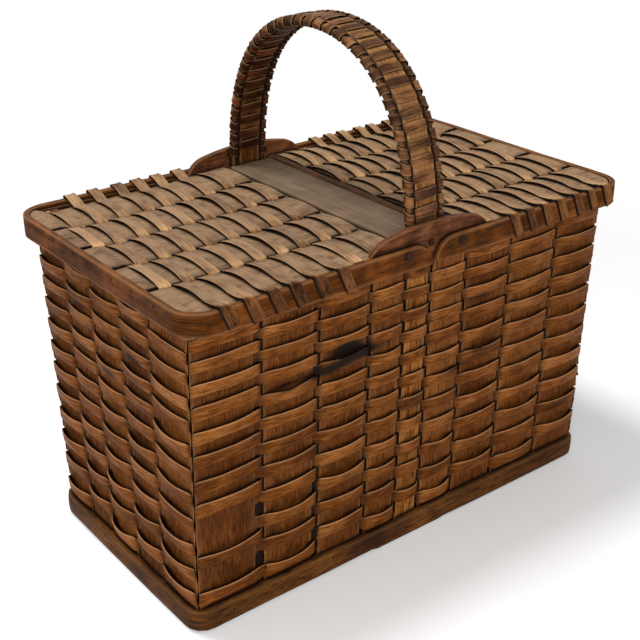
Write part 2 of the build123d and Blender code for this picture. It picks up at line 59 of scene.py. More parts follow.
# Sockets of the Mix node when it mixes colours
MIX_FIRST, MIX_SECOND, MIX_RESULT = 6, 7, 2
# What feeds a node's input: a socket, or a node, for its first output
Feed = bpy.types.NodeSocket | bpy.types.Node
# One value for a whole line, or one for each of its points
Along = float | np.ndarray


class Body(Enum):
    """The parts of the basket that move as one."""

    BASKET = "basket"
    LEFT_LID = "left_lid"
    RIGHT_LID = "right_lid"


class Grain(Enum):
    """Where the fibres of a piece of wood run: the axes that they are drawn out along."""

    ALONG_SPLINT = "splint"
    ALONG_X = "x"
    ALONG_Y = "y"
    LEVEL = "xy"


class Side(Enum):
    """Which face of what it crosses a splint passes."""

    OUTSIDE = 1
    INSIDE = -1

    def other(self) -> "Side":
        """The opposite side."""
        return Side(-self.value)


def linear(colour: str) -> tuple[float, float, float, float]:
    """Turns an sRGB hex colour to linear values.

    Args:
        colour: six hex digits after a hash sign.

    Returns:
        Red, green, blue and an alpha of one.
    """
    parts = [int(colour[i : i + 2], 16) / 255 for i in (1, 3, 5)]
    red, green, blue = [c / 12.92 if c <= 0.04045 else ((c + 0.055) / 1.055) ** 2.4 for c in parts]
    return (red, green, blue, 1.0)


def add_node(
    tree: bpy.types.NodeTree, kind: str, settings: dict | None = None, links: dict | None = None,
) -> bpy.types.Node:
    """Adds a node with its settings and links.

    Args:
        tree: the node tree.
        kind: Blender's name of the node's type.
        settings: values for properties, or for inputs given by name or number.
        links: what feeds the inputs given by name or number.

    Returns:
        The new node.
    """
    node = tree.nodes.new(kind)
    for key, value in (settings or {}).items():
        if isinstance(key, int) or (key in node.inputs and not hasattr(node, key)):
            node.inputs[key].default_value = value
        else:
            setattr(node, key, value)
    for key, feed in (links or {}).items():
        socket = feed.outputs[0] if isinstance(feed, bpy.types.Node) else feed
        tree.links.new(socket, node.inputs[key])
    return node


def showing_rays(tree: bpy.types.NodeTree) -> bpy.types.Node:
    """Adds nodes that give one for rays that show the background: seen, mirrored or through glass.

    Args:
        tree: the node tree.

    Returns:
        The node that gives it.
    """
    path = add_node(tree, "ShaderNodeLightPath").outputs
    shown = path["Is Camera Ray"]
    for ray in ("Is Glossy Ray", "Is Transmission Ray"):
        shown = add_node(tree, "ShaderNodeMath", {"operation": "MAXIMUM"}, {0: shown, 1: path[ray]})
    return shown


@dataclass(frozen=True)
class Finish:
    """What a piece is made of, and how its surface was made."""

    name: str

    def material(self) -> bpy.types.Material:
        """Finds the node material of this finish, or makes it the first time.

        Returns:
            The material.
        """
        made = bpy.data.materials.get(self.name)
        if made is None:
            made = bpy.data.materials.new(self.name)
            made.use_nodes = True
            made.node_tree.nodes.clear()
            surface = self.surface(made.node_tree)
            add_node(made.node_tree, "ShaderNodeOutputMaterial", None, {"Surface": surface})
        return made

    def surface(self, tree: bpy.types.NodeTree) -> bpy.types.Node:
        """Adds the nodes of the surface, in each kind of finish its own."""
        raise NotImplementedError


@dataclass(frozen=True)
class Traits:
    """What the steps of a wood material read: its patterns, and what each point of a splint carries."""

    grain: Feed
    stretched: Feed
    fibre: Feed
    band: Feed
    blotch: Feed
    tone: Feed
    dirt_and_shade: Feed
    weather: Feed
    edge: Feed


@dataclass(frozen=True)
class WoodFinish(Finish):
    """Old oiled wood, split, shaved or bent. Fibres run along the grain, with blotches, smudges of use and
    painted shade in its crevices.

    Real fibres are about 0.3 mm wide. They are drawn about 1 mm wide, as coarse as they need to show.
    """

    pale: str
    middle: str
    dark: str
    # Near-black used for soil and for painted shade alike
    grime_and_shade: str = "#140B06"
    weathered: str = "#86705A"
    worn: str = "#A87C50"
    oiled: str = "#DDA882"
    grain: Grain = Grain.ALONG_SPLINT
    fibre_mm: float = 0.9
    fibre_length_mm: float = 34.0
    blotch_mm: float = 30.0
    fibre_contrast: float = 0.9
    band_contrast: float = 0.8
    blotch_contrast: float = 0.8
    hue_drift: float = 0.003
    pore_depth: float = 0.3
    saturation: float = 1.1
    shaped_edges: bool = False
    edge_wear_and_highlight: float = 0.35
    roughness: float = 0.56
    bump_mm: float = 0.22
    crevice_shade_mm: float = 5.0
    crevice_shade: float = 0.96
    gloss: float = 0.06

    def traits(self, tree: bpy.types.NodeTree) -> Traits:
        """Adds the patterns, and reads what the points carry.

        Args:
            tree: the node tree of the material.

        Returns:
            What the other steps read.
        """
        add = partial(add_node, tree)
        place = add("ShaderNodeTexCoord").outputs["Object"]
        look = add("ShaderNodeAttribute", {"attribute_name": "look"}).outputs["Vector"]
        tone, dirt_and_shade, weather = add("ShaderNodeSeparateXYZ", None, {0: look}).outputs
        long, short = PER_METRE / self.fibre_length_mm, PER_METRE / self.fibre_mm
        if self.grain is Grain.ALONG_SPLINT:
            grain = add("ShaderNodeAttribute", {"attribute_name": "grain"}).outputs["Vector"]
            scale = (long, short, 1.0)
        else:
            grain = place
            scale = tuple(long if axis in self.grain.value else short for axis in "xyz")
        stretched = add("ShaderNodeMapping", {"Scale": scale}, {"Vector": grain})
        fine = {"Scale": 1.0, "Detail": 5.0, "Roughness": 0.72}
        wide = {"Scale": 0.22, "Detail": 2.0, "Distortion": 0.4}
        cloudy = {"Scale": PER_METRE / self.blotch_mm, "Detail": 3.0, "Roughness": 0.55}
        return Traits(
            grain, stretched,
            fibre=add("ShaderNodeTexNoise", fine, {"Vector": stretched}).outputs[0],
            band=add("ShaderNodeTexNoise", wide, {"Vector": stretched}).outputs[0],
            blotch=add("ShaderNodeTexNoise", cloudy, {"Vector": place}).outputs[0],
            tone=tone, dirt_and_shade=dirt_and_shade, weather=weather,
            edge=add("ShaderNodeAttribute", {"attribute_name": "edge"}).outputs["Fac"],
        )

    def bare_colour(self, tree: bpy.types.NodeTree, traits: Traits) -> Feed:
        """Adds the colour of the clean wood: fibres, bands, blotches and pores, in the splint's own tone.

        Args:
            tree: the node tree of the material.
            traits: what the step reads.

        Returns:
            The colour.
        """
        add = partial(add_node, tree)
        value = traits.tone
        shares = (
            (traits.fibre, self.fibre_contrast), (traits.band, self.band_contrast),
            (traits.blotch, self.blotch_contrast),
        )
        for pattern, share in shares:
            value = add("ShaderNodeMath", {"operation": "MULTIPLY_ADD", 1: share}, {0: pattern, 2: value})
        pores = add("ShaderNodeTexNoise", {"Scale": 1.1, "Detail": 2.0}, {"Vector": traits.stretched})
        span = {"From Min": 0.56, "From Max": 0.68, "To Min": 0.0, "To Max": -self.pore_depth}
        pores = add("ShaderNodeMapRange", span, {"Value": pores})
        value = add("ShaderNodeMath", {"operation": "ADD"}, {0: value, 1: pores})
        level = sum(share for _, share in shares) / 2 - 0.53
        value = add("ShaderNodeMath", {"operation": "SUBTRACT", 1: level}, {0: value})
        ramp = add("ShaderNodeValToRGB", None, {0: value})
        stops = ramp.color_ramp.elements
        stops[0].position, stops[0].color = 0.12, linear(self.dark)
        stops[1].position, stops[1].color = 0.88, linear(self.pale)
        stops.new(0.5).color = linear(self.middle)
        return ramp

    def aged_colour(self, tree: bpy.types.NodeTree, traits: Traits, colour: Feed) -> Feed:
        """Adds age: brown where oil has soaked in, grey where light has bleached, and a slow drift of hue.

        Args:
            tree: the node tree of the material.
            traits: what the step reads.
            colour: the colour so far.

        Returns:
            The colour.
        """
        add = partial(add_node, tree)
        oil = add(
            "ShaderNodeMath", {"operation": "MULTIPLY", 1: -1.0, "use_clamp": True}, {0: traits.weather}
        )
        browning = {"data_type": "RGBA", "blend_type": "MULTIPLY", MIX_SECOND: linear(self.oiled)}
        colour = add("ShaderNodeMix", browning, {0: oil, MIX_FIRST: colour}).outputs[MIX_RESULT]
        span = {"From Min": 0.35, "From Max": 0.6, "To Min": 0.4, "To Max": 0.82}
        patchy = add("ShaderNodeMapRange", span, {"Value": traits.blotch})
        weather = add(
            "ShaderNodeMath", {"operation": "MULTIPLY", "use_clamp": True}, {0: traits.weather, 1: patchy}
        )
        greying = {"data_type": "RGBA", "blend_type": "MIX", MIX_SECOND: linear(self.weathered)}
        colour = add("ShaderNodeMix", greying, {0: weather, MIX_FIRST: colour}).outputs[MIX_RESULT]
        drift = add("ShaderNodeTexNoise", {"Scale": 14.0, "Detail": 1.0}, {"Vector": traits.grain})
        span = {
            "From Min": 0.3, "From Max": 0.7, "To Min": 0.5 - self.hue_drift, "To Max": 0.5 + self.hue_drift,
        }
        hue = add("ShaderNodeMapRange", span, {"Value": drift})
        return add("ShaderNodeHueSaturation", {"Saturation": self.saturation}, {"Hue": hue, "Color": colour})

    def used_colour(self, tree: bpy.types.NodeTree, traits: Traits, colour: Feed) -> Feed:
        """Adds use: pale worn edges, which on the wall weavers also carry a painted highlight, soil where it
        was carried, and painted shade: near-black in crevices, found by ambient occlusion, and wherever the
        points carry it.

        Args:
            tree: the node tree of the material.
            traits: what the step reads.
            colour: the colour so far.

        Returns:
            The colour.
        """
        add = partial(add_node, tree)
        edge = traits.edge
        if self.shaped_edges:
            near = {"samples": 6, "inside": True, "Distance": 2.0 * MM}
            inside = add("ShaderNodeAmbientOcclusion", near).outputs["AO"]
            span = {"From Min": 0.85, "From Max": 0.5, "To Min": 0.0, "To Max": 2.0}
            edge = add("ShaderNodeMapRange", span, {"Value": inside})
        # Pale edges: wear, and on the wall weavers also a painted highlight along the top edge
        rubbed_and_highlight = add(
            "ShaderNodeMath", {"operation": "MULTIPLY", 1: self.edge_wear_and_highlight, "use_clamp": True}, {0: edge}
        )
        wearing_and_highlighting = {"data_type": "RGBA", "blend_type": "MIX", MIX_SECOND: linear(self.worn)}
        colour = add("ShaderNodeMix", wearing_and_highlighting, {0: rubbed_and_highlight, MIX_FIRST: colour}).outputs[MIX_RESULT]
        # Painted shade: near-black wherever ambient occlusion finds nearby surfaces, in crevices and gaps
        near = {"samples": 6, "Distance": self.crevice_shade_mm * MM}
        covered = add("ShaderNodeAmbientOcclusion", near).outputs["AO"]
        span = {"From Min": 0.54, "From Max": 0.8, "To Min": self.crevice_shade, "To Max": 0.0}
        painted_crevice_shade = add("ShaderNodeMapRange", span, {"Value": covered})
        patchy = add("ShaderNodeMath", {"operation": "ADD"}, {0: traits.blotch, 1: traits.fibre})
        span = {"From Min": 0.78, "From Max": 1.2, "To Min": 0.25, "To Max": 1.3}
        soiled = add("ShaderNodeMapRange", span, {"Value": patchy})
        grime_and_shade = add(
            "ShaderNodeMath", {"operation": "MULTIPLY_ADD", "use_clamp": True},
            {0: traits.dirt_and_shade, 1: soiled, 2: painted_crevice_shade},
        )
        soiling_and_shading = {"data_type": "RGBA", "blend_type": "MIX", MIX_SECOND: linear(self.grime_and_shade)}
        return add("ShaderNodeMix", soiling_and_shading, {0: grime_and_shade, MIX_FIRST: colour}).outputs[MIX_RESULT]

    def surface(self, tree: bpy.types.NodeTree) -> bpy.types.Node:
        """Adds the wood: its colour, and a roughness and relief that follow the fibres.

        Args:
            tree: the node tree of the material.

        Returns:
            The shader.
        """
        add = partial(add_node, tree)
        traits = self.traits(tree)
        colour = self.bare_colour(tree, traits)
        colour = self.aged_colour(tree, traits, colour)
        colour = self.used_colour(tree, traits, colour)
        dull, sleek = self.roughness + 0.12, self.roughness - 0.06
        span = {"From Min": 0.3, "From Max": 0.7, "To Min": dull, "To Max": sleek}
        rough = add("ShaderNodeMapRange", span, {"Value": traits.band})
        relief = add(
            "ShaderNodeMath", {"operation": "MULTIPLY_ADD", 1: 1.6}, {0: traits.band, 2: traits.fibre}
        )
        bump = add("ShaderNodeBump", {"Strength": 0.9, "Distance": self.bump_mm * MM}, {"Height": relief})
        return add(
            "ShaderNodeBsdfPrincipled", {"Specular IOR Level": self.gloss},
            {"Base Color": colour, "Roughness": rough, "Normal": bump},
        )


@dataclass(frozen=True)
class IronFinish(Finish):
    """Blackened forged iron of hand-made nails, uneven and dull, with brown rust in the hollows."""

    name: str = "forged_iron_rusted"
    black: str = "#1C130C"
    rust: str = "#40261A"
    pit_mm: float = 1.1
    pit_depth_mm: float = 0.3
    metallic: float = 0.5
    roughness: float = 0.7

    def surface(self, tree: bpy.types.NodeTree) -> bpy.types.Node:
        """Adds the iron, rusty in its pits.

        Args:
            tree: the node tree of the material.

        Returns:
            The shader.
        """
        add = partial(add_node, tree)
        place = add("ShaderNodeTexCoord").outputs["Object"]
        pits = add("ShaderNodeTexNoise", {"Scale": PER_METRE / self.pit_mm, "Detail": 3.0}, {"Vector": place})
        ramp = add("ShaderNodeValToRGB", None, {0: pits})
        for stop, position, colour in zip(ramp.color_ramp.elements, (0.4, 0.6), (self.rust, self.black)):
            stop.position, stop.color = position, linear(colour)
        bump = add("ShaderNodeBump", {"Strength": 0.8, "Distance": self.pit_depth_mm * MM}, {"Height": pits})
        return add(
            "ShaderNodeBsdfPrincipled",
            {"Metallic": self.metallic, "Roughness": self.roughness, "Specular IOR Level": 0.1},
            {"Base Color": ramp, "Normal": bump},
        )


@dataclass(frozen=True)
class PaperFinish(Finish):
    """Matt white studio paper that keeps a soft shadow and fades to pure white away from the basket."""

    name: str = "white_paper_floor"
    white: str = "#F4F4F4"
    glow: float = 0.04
    fade_start: float = 0.45
    fade_end: float = 0.95

    def surface(self, tree: bpy.types.NodeTree) -> bpy.types.Node:
        """Adds the paper.

        Args:
            tree: the node tree of the material.

        Returns:
            The shader.
        """
        add = partial(add_node, tree)
        diffuse = add("ShaderNodeBsdfDiffuse", {"Color": linear(self.white)})
        glow = add("ShaderNodeEmission", {"Color": linear("#FFFFFF"), "Strength": self.glow})
        lit = add("ShaderNodeAddShader", None, {0: diffuse, 1: glow})
        place = add("ShaderNodeTexCoord").outputs["Object"]
        away = add("ShaderNodeVectorMath", {"operation": "LENGTH"}, {0: place}).outputs["Value"]
        span = {"interpolation_type": "SMOOTHSTEP", "From Min": self.fade_start, "From Max": self.fade_end}
        fade = add("ShaderNodeMapRange", span, {"Value": away})
        white = add("ShaderNodeEmission", {"Color": linear("#FFFFFF"), "Strength": 1.0})
        seen = add("ShaderNodeMixShader", None, {0: fade, 1: lit, 2: white})
        return add("ShaderNodeMixShader", None, {0: showing_rays(tree), 1: diffuse, 2: seen})


# Weavers of the walls: split ash, oiled and browned by age, with a pale line along the top edge, partly wear
# and partly a painted highlight
WALL_WEAVER = WoodFinish(
    "ash_splint_walls", "#8C5D3A", "#643A1C", "#361A0A", weathered="#6B4A2C", worn="#B4845A",
    fibre_mm=1.0, fibre_length_mm=12.0, fibre_contrast=1.7, band_contrast=0.5, edge_wear_and_highlight=0.7,
    roughness=0.54, bump_mm=0.35, hue_drift=0.002, pore_depth=0.4, saturation=1.08,
)
# Uprights of the walls: wide splints whose split face shows fine fibres from top to foot
WALL_UPRIGHT = WoodFinish(
    "ash_splint_uprights", "#744A2C", "#55311A", "#2D1608",
    fibre_mm=1.0, fibre_length_mm=13.0, fibre_contrast=1.7, band_contrast=0.25, edge_wear_and_highlight=0.3,
    roughness=0.62, bump_mm=0.45, hue_drift=0.002, pore_depth=0.5, saturation=1.08,
)
# Weavers of the lids: the same ash, greyed by hands and light on top and still tan in the dips
LID_WEAVER = WoodFinish(
    "ash_splint_lids", "#BC9266", "#8A6644", "#3E2616", weathered="#826A54", oiled="#A68A70",
    fibre_mm=1.0, fibre_length_mm=13.0, fibre_contrast=1.5, band_contrast=0.7, blotch_contrast=1.2,
    blotch_mm=16.0, edge_wear_and_highlight=0.35, roughness=0.58, bump_mm=0.35, pore_depth=0.4, saturation=1.0,
)
# Wide strips of the lids: the same ash, greyer and more blotched, flush under the weavers
LID_STRIP = WoodFinish(
    "ash_strip_lids", "#AE8660", "#7E5E42", "#3A2516", weathered="#7E6852",
    fibre_mm=1.0, fibre_length_mm=13.0, fibre_contrast=1.9, band_contrast=0.7, blotch_contrast=1.5,
    blotch_mm=13.0, edge_wear_and_highlight=0.1, roughness=0.62, bump_mm=0.35, pore_depth=0.5, saturation=1.0,
)
# Bands of the lids: bent oak, brown from oil, with paler worn corners
LID_BAND = WoodFinish(
    "oak_bent_bands", "#6A3F26", "#462712", "#220F06", weathered="#4C3624", worn="#A87850",
    fibre_mm=1.1, fibre_length_mm=24.0, fibre_contrast=1.1, band_contrast=0.5, blotch_contrast=1.2,
    blotch_mm=14.0, edge_wear_and_highlight=0.35, roughness=0.54, pore_depth=0.45, saturation=1.12,
)
# Handle core and ribs: shaved hickory, still pale where the binding covered it, browned on the inner faces
# partly by oil and partly as painted shade
HANDLE_WOOD = WoodFinish(
    "hickory_shaved_handle", "#AC7A48", "#7C4D26", "#2E1608", weathered="#8A6C4E", oiled="#988E90",
    fibre_mm=1.0, fibre_length_mm=16.0, fibre_contrast=1.8, band_contrast=0.4, roughness=0.6,
    pore_depth=0.5, saturation=1.05,
)
# Binding of the handle: thin hickory splint, polished by hands to a brown sheen
BINDING = WoodFinish(
    "hickory_splint_binding", "#855A36", "#4A2D18", "#1F1007", weathered="#523C29", worn="#A88058",
    fibre_mm=0.9, fibre_length_mm=12.0, fibre_contrast=1.4, edge_wear_and_highlight=0.55, roughness=0.5,
    bump_mm=0.35, saturation=1.0,
)
# Hoop round the foot: bent oak, darkened by floors and damp, with worn edges
BASE_HOOP = WoodFinish(
    "oak_bent_base_hoop", "#6E4628", "#482A15", "#1F1007", weathered="#4A341F", worn="#86603C",
    fibre_mm=1.5, fibre_length_mm=16.0, fibre_contrast=1.4, edge_wear_and_highlight=0.3, pore_depth=0.8,
)
# Rim hoops: bent oak, close in colour to the weave
RIM = WoodFinish(
    "oak_bent_rims", "#704528", "#4E2F1A", "#28170C", grain=Grain.LEVEL, shaped_edges=True,
    fibre_mm=1.4, fibre_length_mm=70.0, saturation=1.05,
)
# Crescents: sawn and shaved oak, red-brown, with long fine grain
CRESCENT = WoodFinish(
    "oak_shaved_crescents", "#7A4C34", "#502D1A", "#27130A", worn="#B08058", grain=Grain.ALONG_X,
    shaped_edges=True, fibre_mm=1.0, fibre_length_mm=24.0, fibre_contrast=1.2, band_contrast=0.4,
    blotch_contrast=0.8, blotch_mm=12.0, roughness=0.52, pore_depth=0.45, saturation=1.02,
)
# Board between the lids: planed pine, greyed by light
BOARD = WoodFinish(
    "pine_planed_board", "#826D57", "#665341", "#46392C", worn="#9A8468", grain=Grain.ALONG_Y,
    shaped_edges=True, fibre_mm=1.2, fibre_length_mm=70.0, fibre_contrast=0.6, band_contrast=0.2,
    roughness=0.64, hue_drift=0.002, saturation=1.0,
)
# Hinge strip of the left lid: whittled hardwood, greyed like the board beside it
HINGE_STRIP = WoodFinish(
    "hardwood_whittled_hinge_strip", "#8A755E", "#685645", "#3A2E24", grain=Grain.ALONG_Y,
    fibre_mm=1.2, fibre_length_mm=60.0, band_contrast=0.5, saturation=1.0,
)
# Hinge rod of the right lid: whittled round, dark brown and a little polished by turning
HINGE_ROD = WoodFinish(
    "hardwood_round_hinge_rod", "#6C4C35", "#4A3222", "#22150E", grain=Grain.ALONG_Y,
    fibre_mm=1.1, fibre_length_mm=40.0, band_contrast=0.6, roughness=0.5,
)
# Splints of the floor: split ash, oiled and never greyed, one finish for each way that they lie
FLOOR_CROSS, FLOOR_LONG = (
    WoodFinish(f"ash_splint_floor_{word}", "#7C4D22", "#5C3615", "#331A09", grain=grain, roughness=0.62)
    for word, grain in (("cross", Grain.ALONG_Y), ("long", Grain.ALONG_X))
)
IRON = IronFinish()
PAPER = PaperFinish()


def wander(rng: np.random.Generator, along: np.ndarray, wave: float, amount: float) -> np.ndarray:
    """Slow uneven drift along a line.

    Args:
        rng: seeded source of phases.
        along: distances along the line, in millimetres.
        wave: longest wave, in millimetres.
        amount: largest drift.

    Returns:
        The drift at each distance.
    """
    shares = (1.0, 0.47, 0.21)
    total = np.zeros_like(np.asarray(along, float))
    for share in shares:
        total = total + share * np.sin(2 * np.pi * along / (wave * share) + rng.uniform(0, 2 * np.pi))
    return amount * total / sum(shares)


def unit(vectors: np.ndarray) -> np.ndarray:
    """Vectors of length one along the given ones."""
    return vectors / np.maximum(np.linalg.norm(vectors, axis=-1, keepdims=True), 1e-9)


def eased(count: int) -> np.ndarray:
    """Numbers from 0 to 1, closer together at both ends."""
    return 0.5 - 0.5 * np.cos(np.pi * np.linspace(0, 1, count))


def distances(line: np.ndarray) -> np.ndarray:
    """Distance along a line to each of its points."""
    return np.concatenate(([0], np.cumsum(np.linalg.norm(np.diff(line, axis=0), axis=1))))


def resampled(points: np.ndarray, step: float) -> np.ndarray:
    """Evenly spaced points along an open line.

    Args:
        points: the line's points, one row each.
        step: about how far apart the new points are.

    Returns:
        The new points.
    """
    along = distances(points)
    even = np.linspace(0, along[-1], max(3, int(along[-1] / step)))
    return np.column_stack([np.interp(even, along, column) for column in points.T])


def rounded(points: np.ndarray, passes: int) -> np.ndarray:
    """Cuts the corners of an open line, keeping its ends.

    Args:
        points: the line's points, one row each.
        passes: how often every corner is cut.

    Returns:
        The points of the rounder line.
    """
    for _ in range(passes):
        near = 0.75 * points[:-1] + 0.25 * points[1:]
        far = 0.25 * points[:-1] + 0.75 * points[1:]
        middle = np.stack((near, far), axis=1).reshape(-1, points.shape[1])
        points = np.concatenate((points[:1], middle[1:-1], points[-1:]))
    return points


def loop_line(reach_x: float, reach_y: float, corner: float, step: float) -> np.ndarray:
    """Level closed line round a rounded rectangle, from the middle of the back, front to the right.

    Args:
        reach_x: half its length.
        reach_y: half its width.
        corner: radius of its corners.
        step: about how far apart its points are.

    Returns:
        Two columns, x and y, whose last point meets the first.
    """
    turn = np.linspace(0, np.pi / 2, 9)
    corners = ((-1, 1, np.pi / 2), (-1, -1, np.pi), (1, -1, 1.5 * np.pi), (1, 1, 2 * np.pi))
    points = [(0.0, reach_y)]
    for side_x, side_y, first in corners:
        middle_x, middle_y = side_x * (reach_x - corner), side_y * (reach_y - corner)
        angles = first + turn
        points += zip(middle_x + corner * np.cos(angles), middle_y + corner * np.sin(angles))
    points.append((0.0, reach_y))
    return resampled(np.array(points), step)


@dataclass(frozen=True)
class Stain:
    """A dark spot on the basket, with its middle and its reach each way."""

    middle: tuple[float, float, float]
    reach: tuple[float, float, float]
    amount: float

    def at(self, points: np.ndarray) -> np.ndarray:
        """How dark the stain makes each point."""
        away = ((points - np.array(self.middle)) / np.array(self.reach)) ** 2
        return self.amount * np.exp(-away.sum(axis=-1))


# Stains of the front wall, then of the left wall, then of the left lid's corner and top
STAINS = (
    Stain((-73, -118, 211), (12, 8, 5.0), 2.4),
    Stain((-62, -119, 203), (28, 10, 5.2), 1.9),
    Stain((-96, -119, 198), (16, 10, 4.4), 1.8),
    Stain((-134, -118, 198), (12, 8, 2.6), 1.8),
    Stain((72, -119, 214), (14, 8, 3.6), 1.2),
    Stain((52, -119, 153), (17, 8, 2.4), 1.4),
    Stain((76, -119, 165), (12, 8, 2.4), 1.3),
    Stain((-218, -37, 217), (8, 14, 5), 1.4),
    Stain((-218, 2, 190), (8, 10, 4), 1.4),
    Stain((-218, 54, 232), (8, 14, 4), 1.2),
    Stain((-219, 48, 288), (6, 6, 9), 0.9),
    Stain((-150, -60, 288), (9, 8, 9), 0.35),
)


@dataclass
class Splint:
    """A splint that follows a line, in millimetres.

    Attributes:
        line: middle line.
        across: direction of the width, at each point or one for all.
        low: edge on the far side of the width, as a negative distance from the line.
        high: edge on the near side of the width.
        thickness: its thickness.
        columns: points across each face.
        cup: how far the middle of the width stands out.
        tone: lighter or darker, from about -0.5 to 0.5.
        grime_and_shade: soil, and painted shade where parts hide or overhang each other, from 0 up, along the
            line or at each point and column.
        weather: greying from 0 to 1, or browning by oil down to -1.
        far_weather_and_shade: the weather of the far face, where it differs; on the handle it browns the
            inner faces, partly as painted shade.
        inset: share of the thickness that is rounded off at the edges.
        low_wear_and_highlight: wear of the low edge, where the high edge has one. The wall weavers keep it
            low, so that their top edge also carries a painted highlight.
    """

    # Size of the tree that splints are cut from: metres along and across its grain, and layers
    TREE: ClassVar[tuple[float, float, float]] = (7.0, 3.0, 50.0)
    # Wood thicker than this is worn at its corners, a thinner splint all over its edges
    THICK: ClassVar[float] = 2.0
    # How closely the wear keeps to the edges
    EDGE_POWER: ClassVar[int] = 12

    line: np.ndarray
    across: np.ndarray
    low: Along
    high: Along
    thickness: Along
    columns: int
    cup: Along = 0.0
    tone: Along = 0.0
    grime_and_shade: Along = 0.0
    weather: Along = 0.0
    far_weather_and_shade: Along | None = None
    inset: float = 0.35
    low_wear_and_highlight: float = 1.0

    def spread_out(self, value: Along) -> np.ndarray:
        """A value at each point of the line, as a column."""
        return (value * np.ones(len(self.line)))[:, None]

    def section(self) -> tuple[np.ndarray, np.ndarray]:
        """Outline of the splint at each point of its line.

        Returns:
            The points, round from the near face by the high edge, the far face and the low edge, and how far
            across the width each one lies.
        """
        tangent = unit(np.gradient(self.line, axis=0))
        normal = unit(np.cross(tangent, self.across))
        across = unit(np.cross(normal, tangent))
        low, high, half, cup = map(self.spread_out, (self.low, self.high, self.thickness / 2, self.cup))
        round_off = 2 * self.inset * half
        share = eased(self.columns)
        spot = low + round_off + (high - low - 2 * round_off) * share
        crown = cup * (1 - (2 * share - 1) ** 2)
        base = self.line[:, None, :] + across[:, None, :] * spot[..., None]
        near_face = base + normal[:, None, :] * (half + crown)[..., None]
        far_face = base + normal[:, None, :] * (crown - half)[..., None]
        high_edge, low_edge = self.line + across * high, self.line + across * low
        ring = np.concatenate(
            (near_face, high_edge[:, None], far_face[:, ::-1], low_edge[:, None]), axis=1
        )
        return ring, np.concatenate((spot, high, spot[:, ::-1], low), axis=1)

    def grain(self, spread: np.ndarray, seed: float) -> np.ndarray:
        """Where each point of the outline lies in the grain of a tree.

        Args:
            spread: how far across the width each point lies.
            seed: number from 0 to 1 that picks the place in the tree.

        Returns:
            Places in metres along and across the fibres, and the layer.
        """
        grain = np.zeros((*spread.shape, 3)) + seed * np.array(self.TREE)
        grain[..., 0] += distances(self.line)[:, None] * MM
        grain[..., 1] += spread * MM
        return grain

    def look(self, ring: np.ndarray) -> np.ndarray:
        """Tone, darkening and weather of each point of the outline; the darkening is soil and painted shade.

        Args:
            ring: the points of the outline.

        Returns:
            The three values at each point.
        """
        dirt_and_shade = np.asarray(self.grime_and_shade, float)
        if dirt_and_shade.ndim == 2:
            dirt_and_shade = np.concatenate((dirt_and_shade, dirt_and_shade[:, -1:], dirt_and_shade[:, ::-1], dirt_and_shade[:, :1]), axis=1)
        else:
            dirt_and_shade = self.spread_out(dirt_and_shade)
        look = np.zeros(ring.shape)
        look[..., 0] = self.spread_out(self.tone)
        look[..., 1] = dirt_and_shade + sum(stain.at(ring) for stain in STAINS)
        look[..., 2] = self.spread_out(self.weather)
        if self.far_weather_and_shade is not None:
            look[:, self.columns + 1 :, 2] = self.spread_out(self.far_weather_and_shade)
        return look

    def wear(self) -> np.ndarray:
        """How worn the outline is; on the top edges of the wall weavers this also stands for a painted
        highlight.

        Returns:
            The wear at each point.
        """
        share, ones = eased(self.columns), self.spread_out(1.0)
        rim = np.where(share < 0.5, self.low_wear_and_highlight, 1.0) * np.abs(2 * share - 1) ** self.EDGE_POWER * ones
        thick = np.mean(self.thickness) > self.THICK
        rim, edge = (0.9 * rim, 0.1 * ones) if thick else (0.4 * rim, ones)
        return np.concatenate((rim, edge, rim[:, ::-1], self.low_wear_and_highlight * edge), axis=1)


class SplintPile:
    """Gathers splints into one piece, with grain, look and wear on every point."""

    def __init__(self, seed: int) -> None:
        """Starts an empty pile with its own random numbers."""
        self.rng = np.random.default_rng(seed)
        self.points: list[np.ndarray] = []
        self.faces: list[np.ndarray] = []
        self.caps: list[list[int]] = []
        self.layers: dict[str, list[np.ndarray]] = {"grain": [], "look": [], "edge": []}
        self.count = 0

    def add(self, splint: Splint) -> None:
        """Adds a splint, closed at both ends.

        Args:
            splint: the splint.
        """
        ring, spread = splint.section()
        count, size = spread.shape
        index = self.count + np.arange(count * size).reshape(count, size)
        ahead = np.roll(index, -1, axis=1)
        quads = np.stack((index[1:], ahead[1:], ahead[:-1], index[:-1]), axis=-1)
        self.points.append(ring.reshape(-1, 3))
        self.faces.append(quads.reshape(-1, 4))
        self.caps += [list(index[0]), list(index[-1][::-1])]
        self.count += count * size
        self.layers["grain"].append(splint.grain(spread, self.rng.uniform(0, 1)).reshape(-1, 3))
        self.layers["look"].append(splint.look(ring).reshape(-1, 3))
        self.layers["edge"].append(splint.wear().reshape(-1))

    def make(self, name: str, finish: Finish, body: Body, slot: str, *stands_for: str) -> bpy.types.Object:
        """Makes the piece from the splints gathered so far.

        Args:
            name: name of the piece.
            finish: what it is made of.
            body: what it moves with.
            slot: not used.
            *stands_for: frame nodes that it is shown in place of.

        Returns:
            The new object.
        """
        mesh = bpy.data.meshes.new(name)
        points = np.concatenate(self.points) * MM
        mesh.from_pydata(points.tolist(), [], np.concatenate(self.faces).tolist() + self.caps)
        for key, parts in self.layers.items():
            values = np.concatenate(parts).astype(np.float32)
            kind, part = ("FLOAT_VECTOR", "vector") if values.ndim == 2 else ("FLOAT", "value")
            mesh.attributes.new(key, kind, "POINT").data.foreach_set(part, values.ravel())
        return finish_piece(mesh, name, finish, body, stands_for)


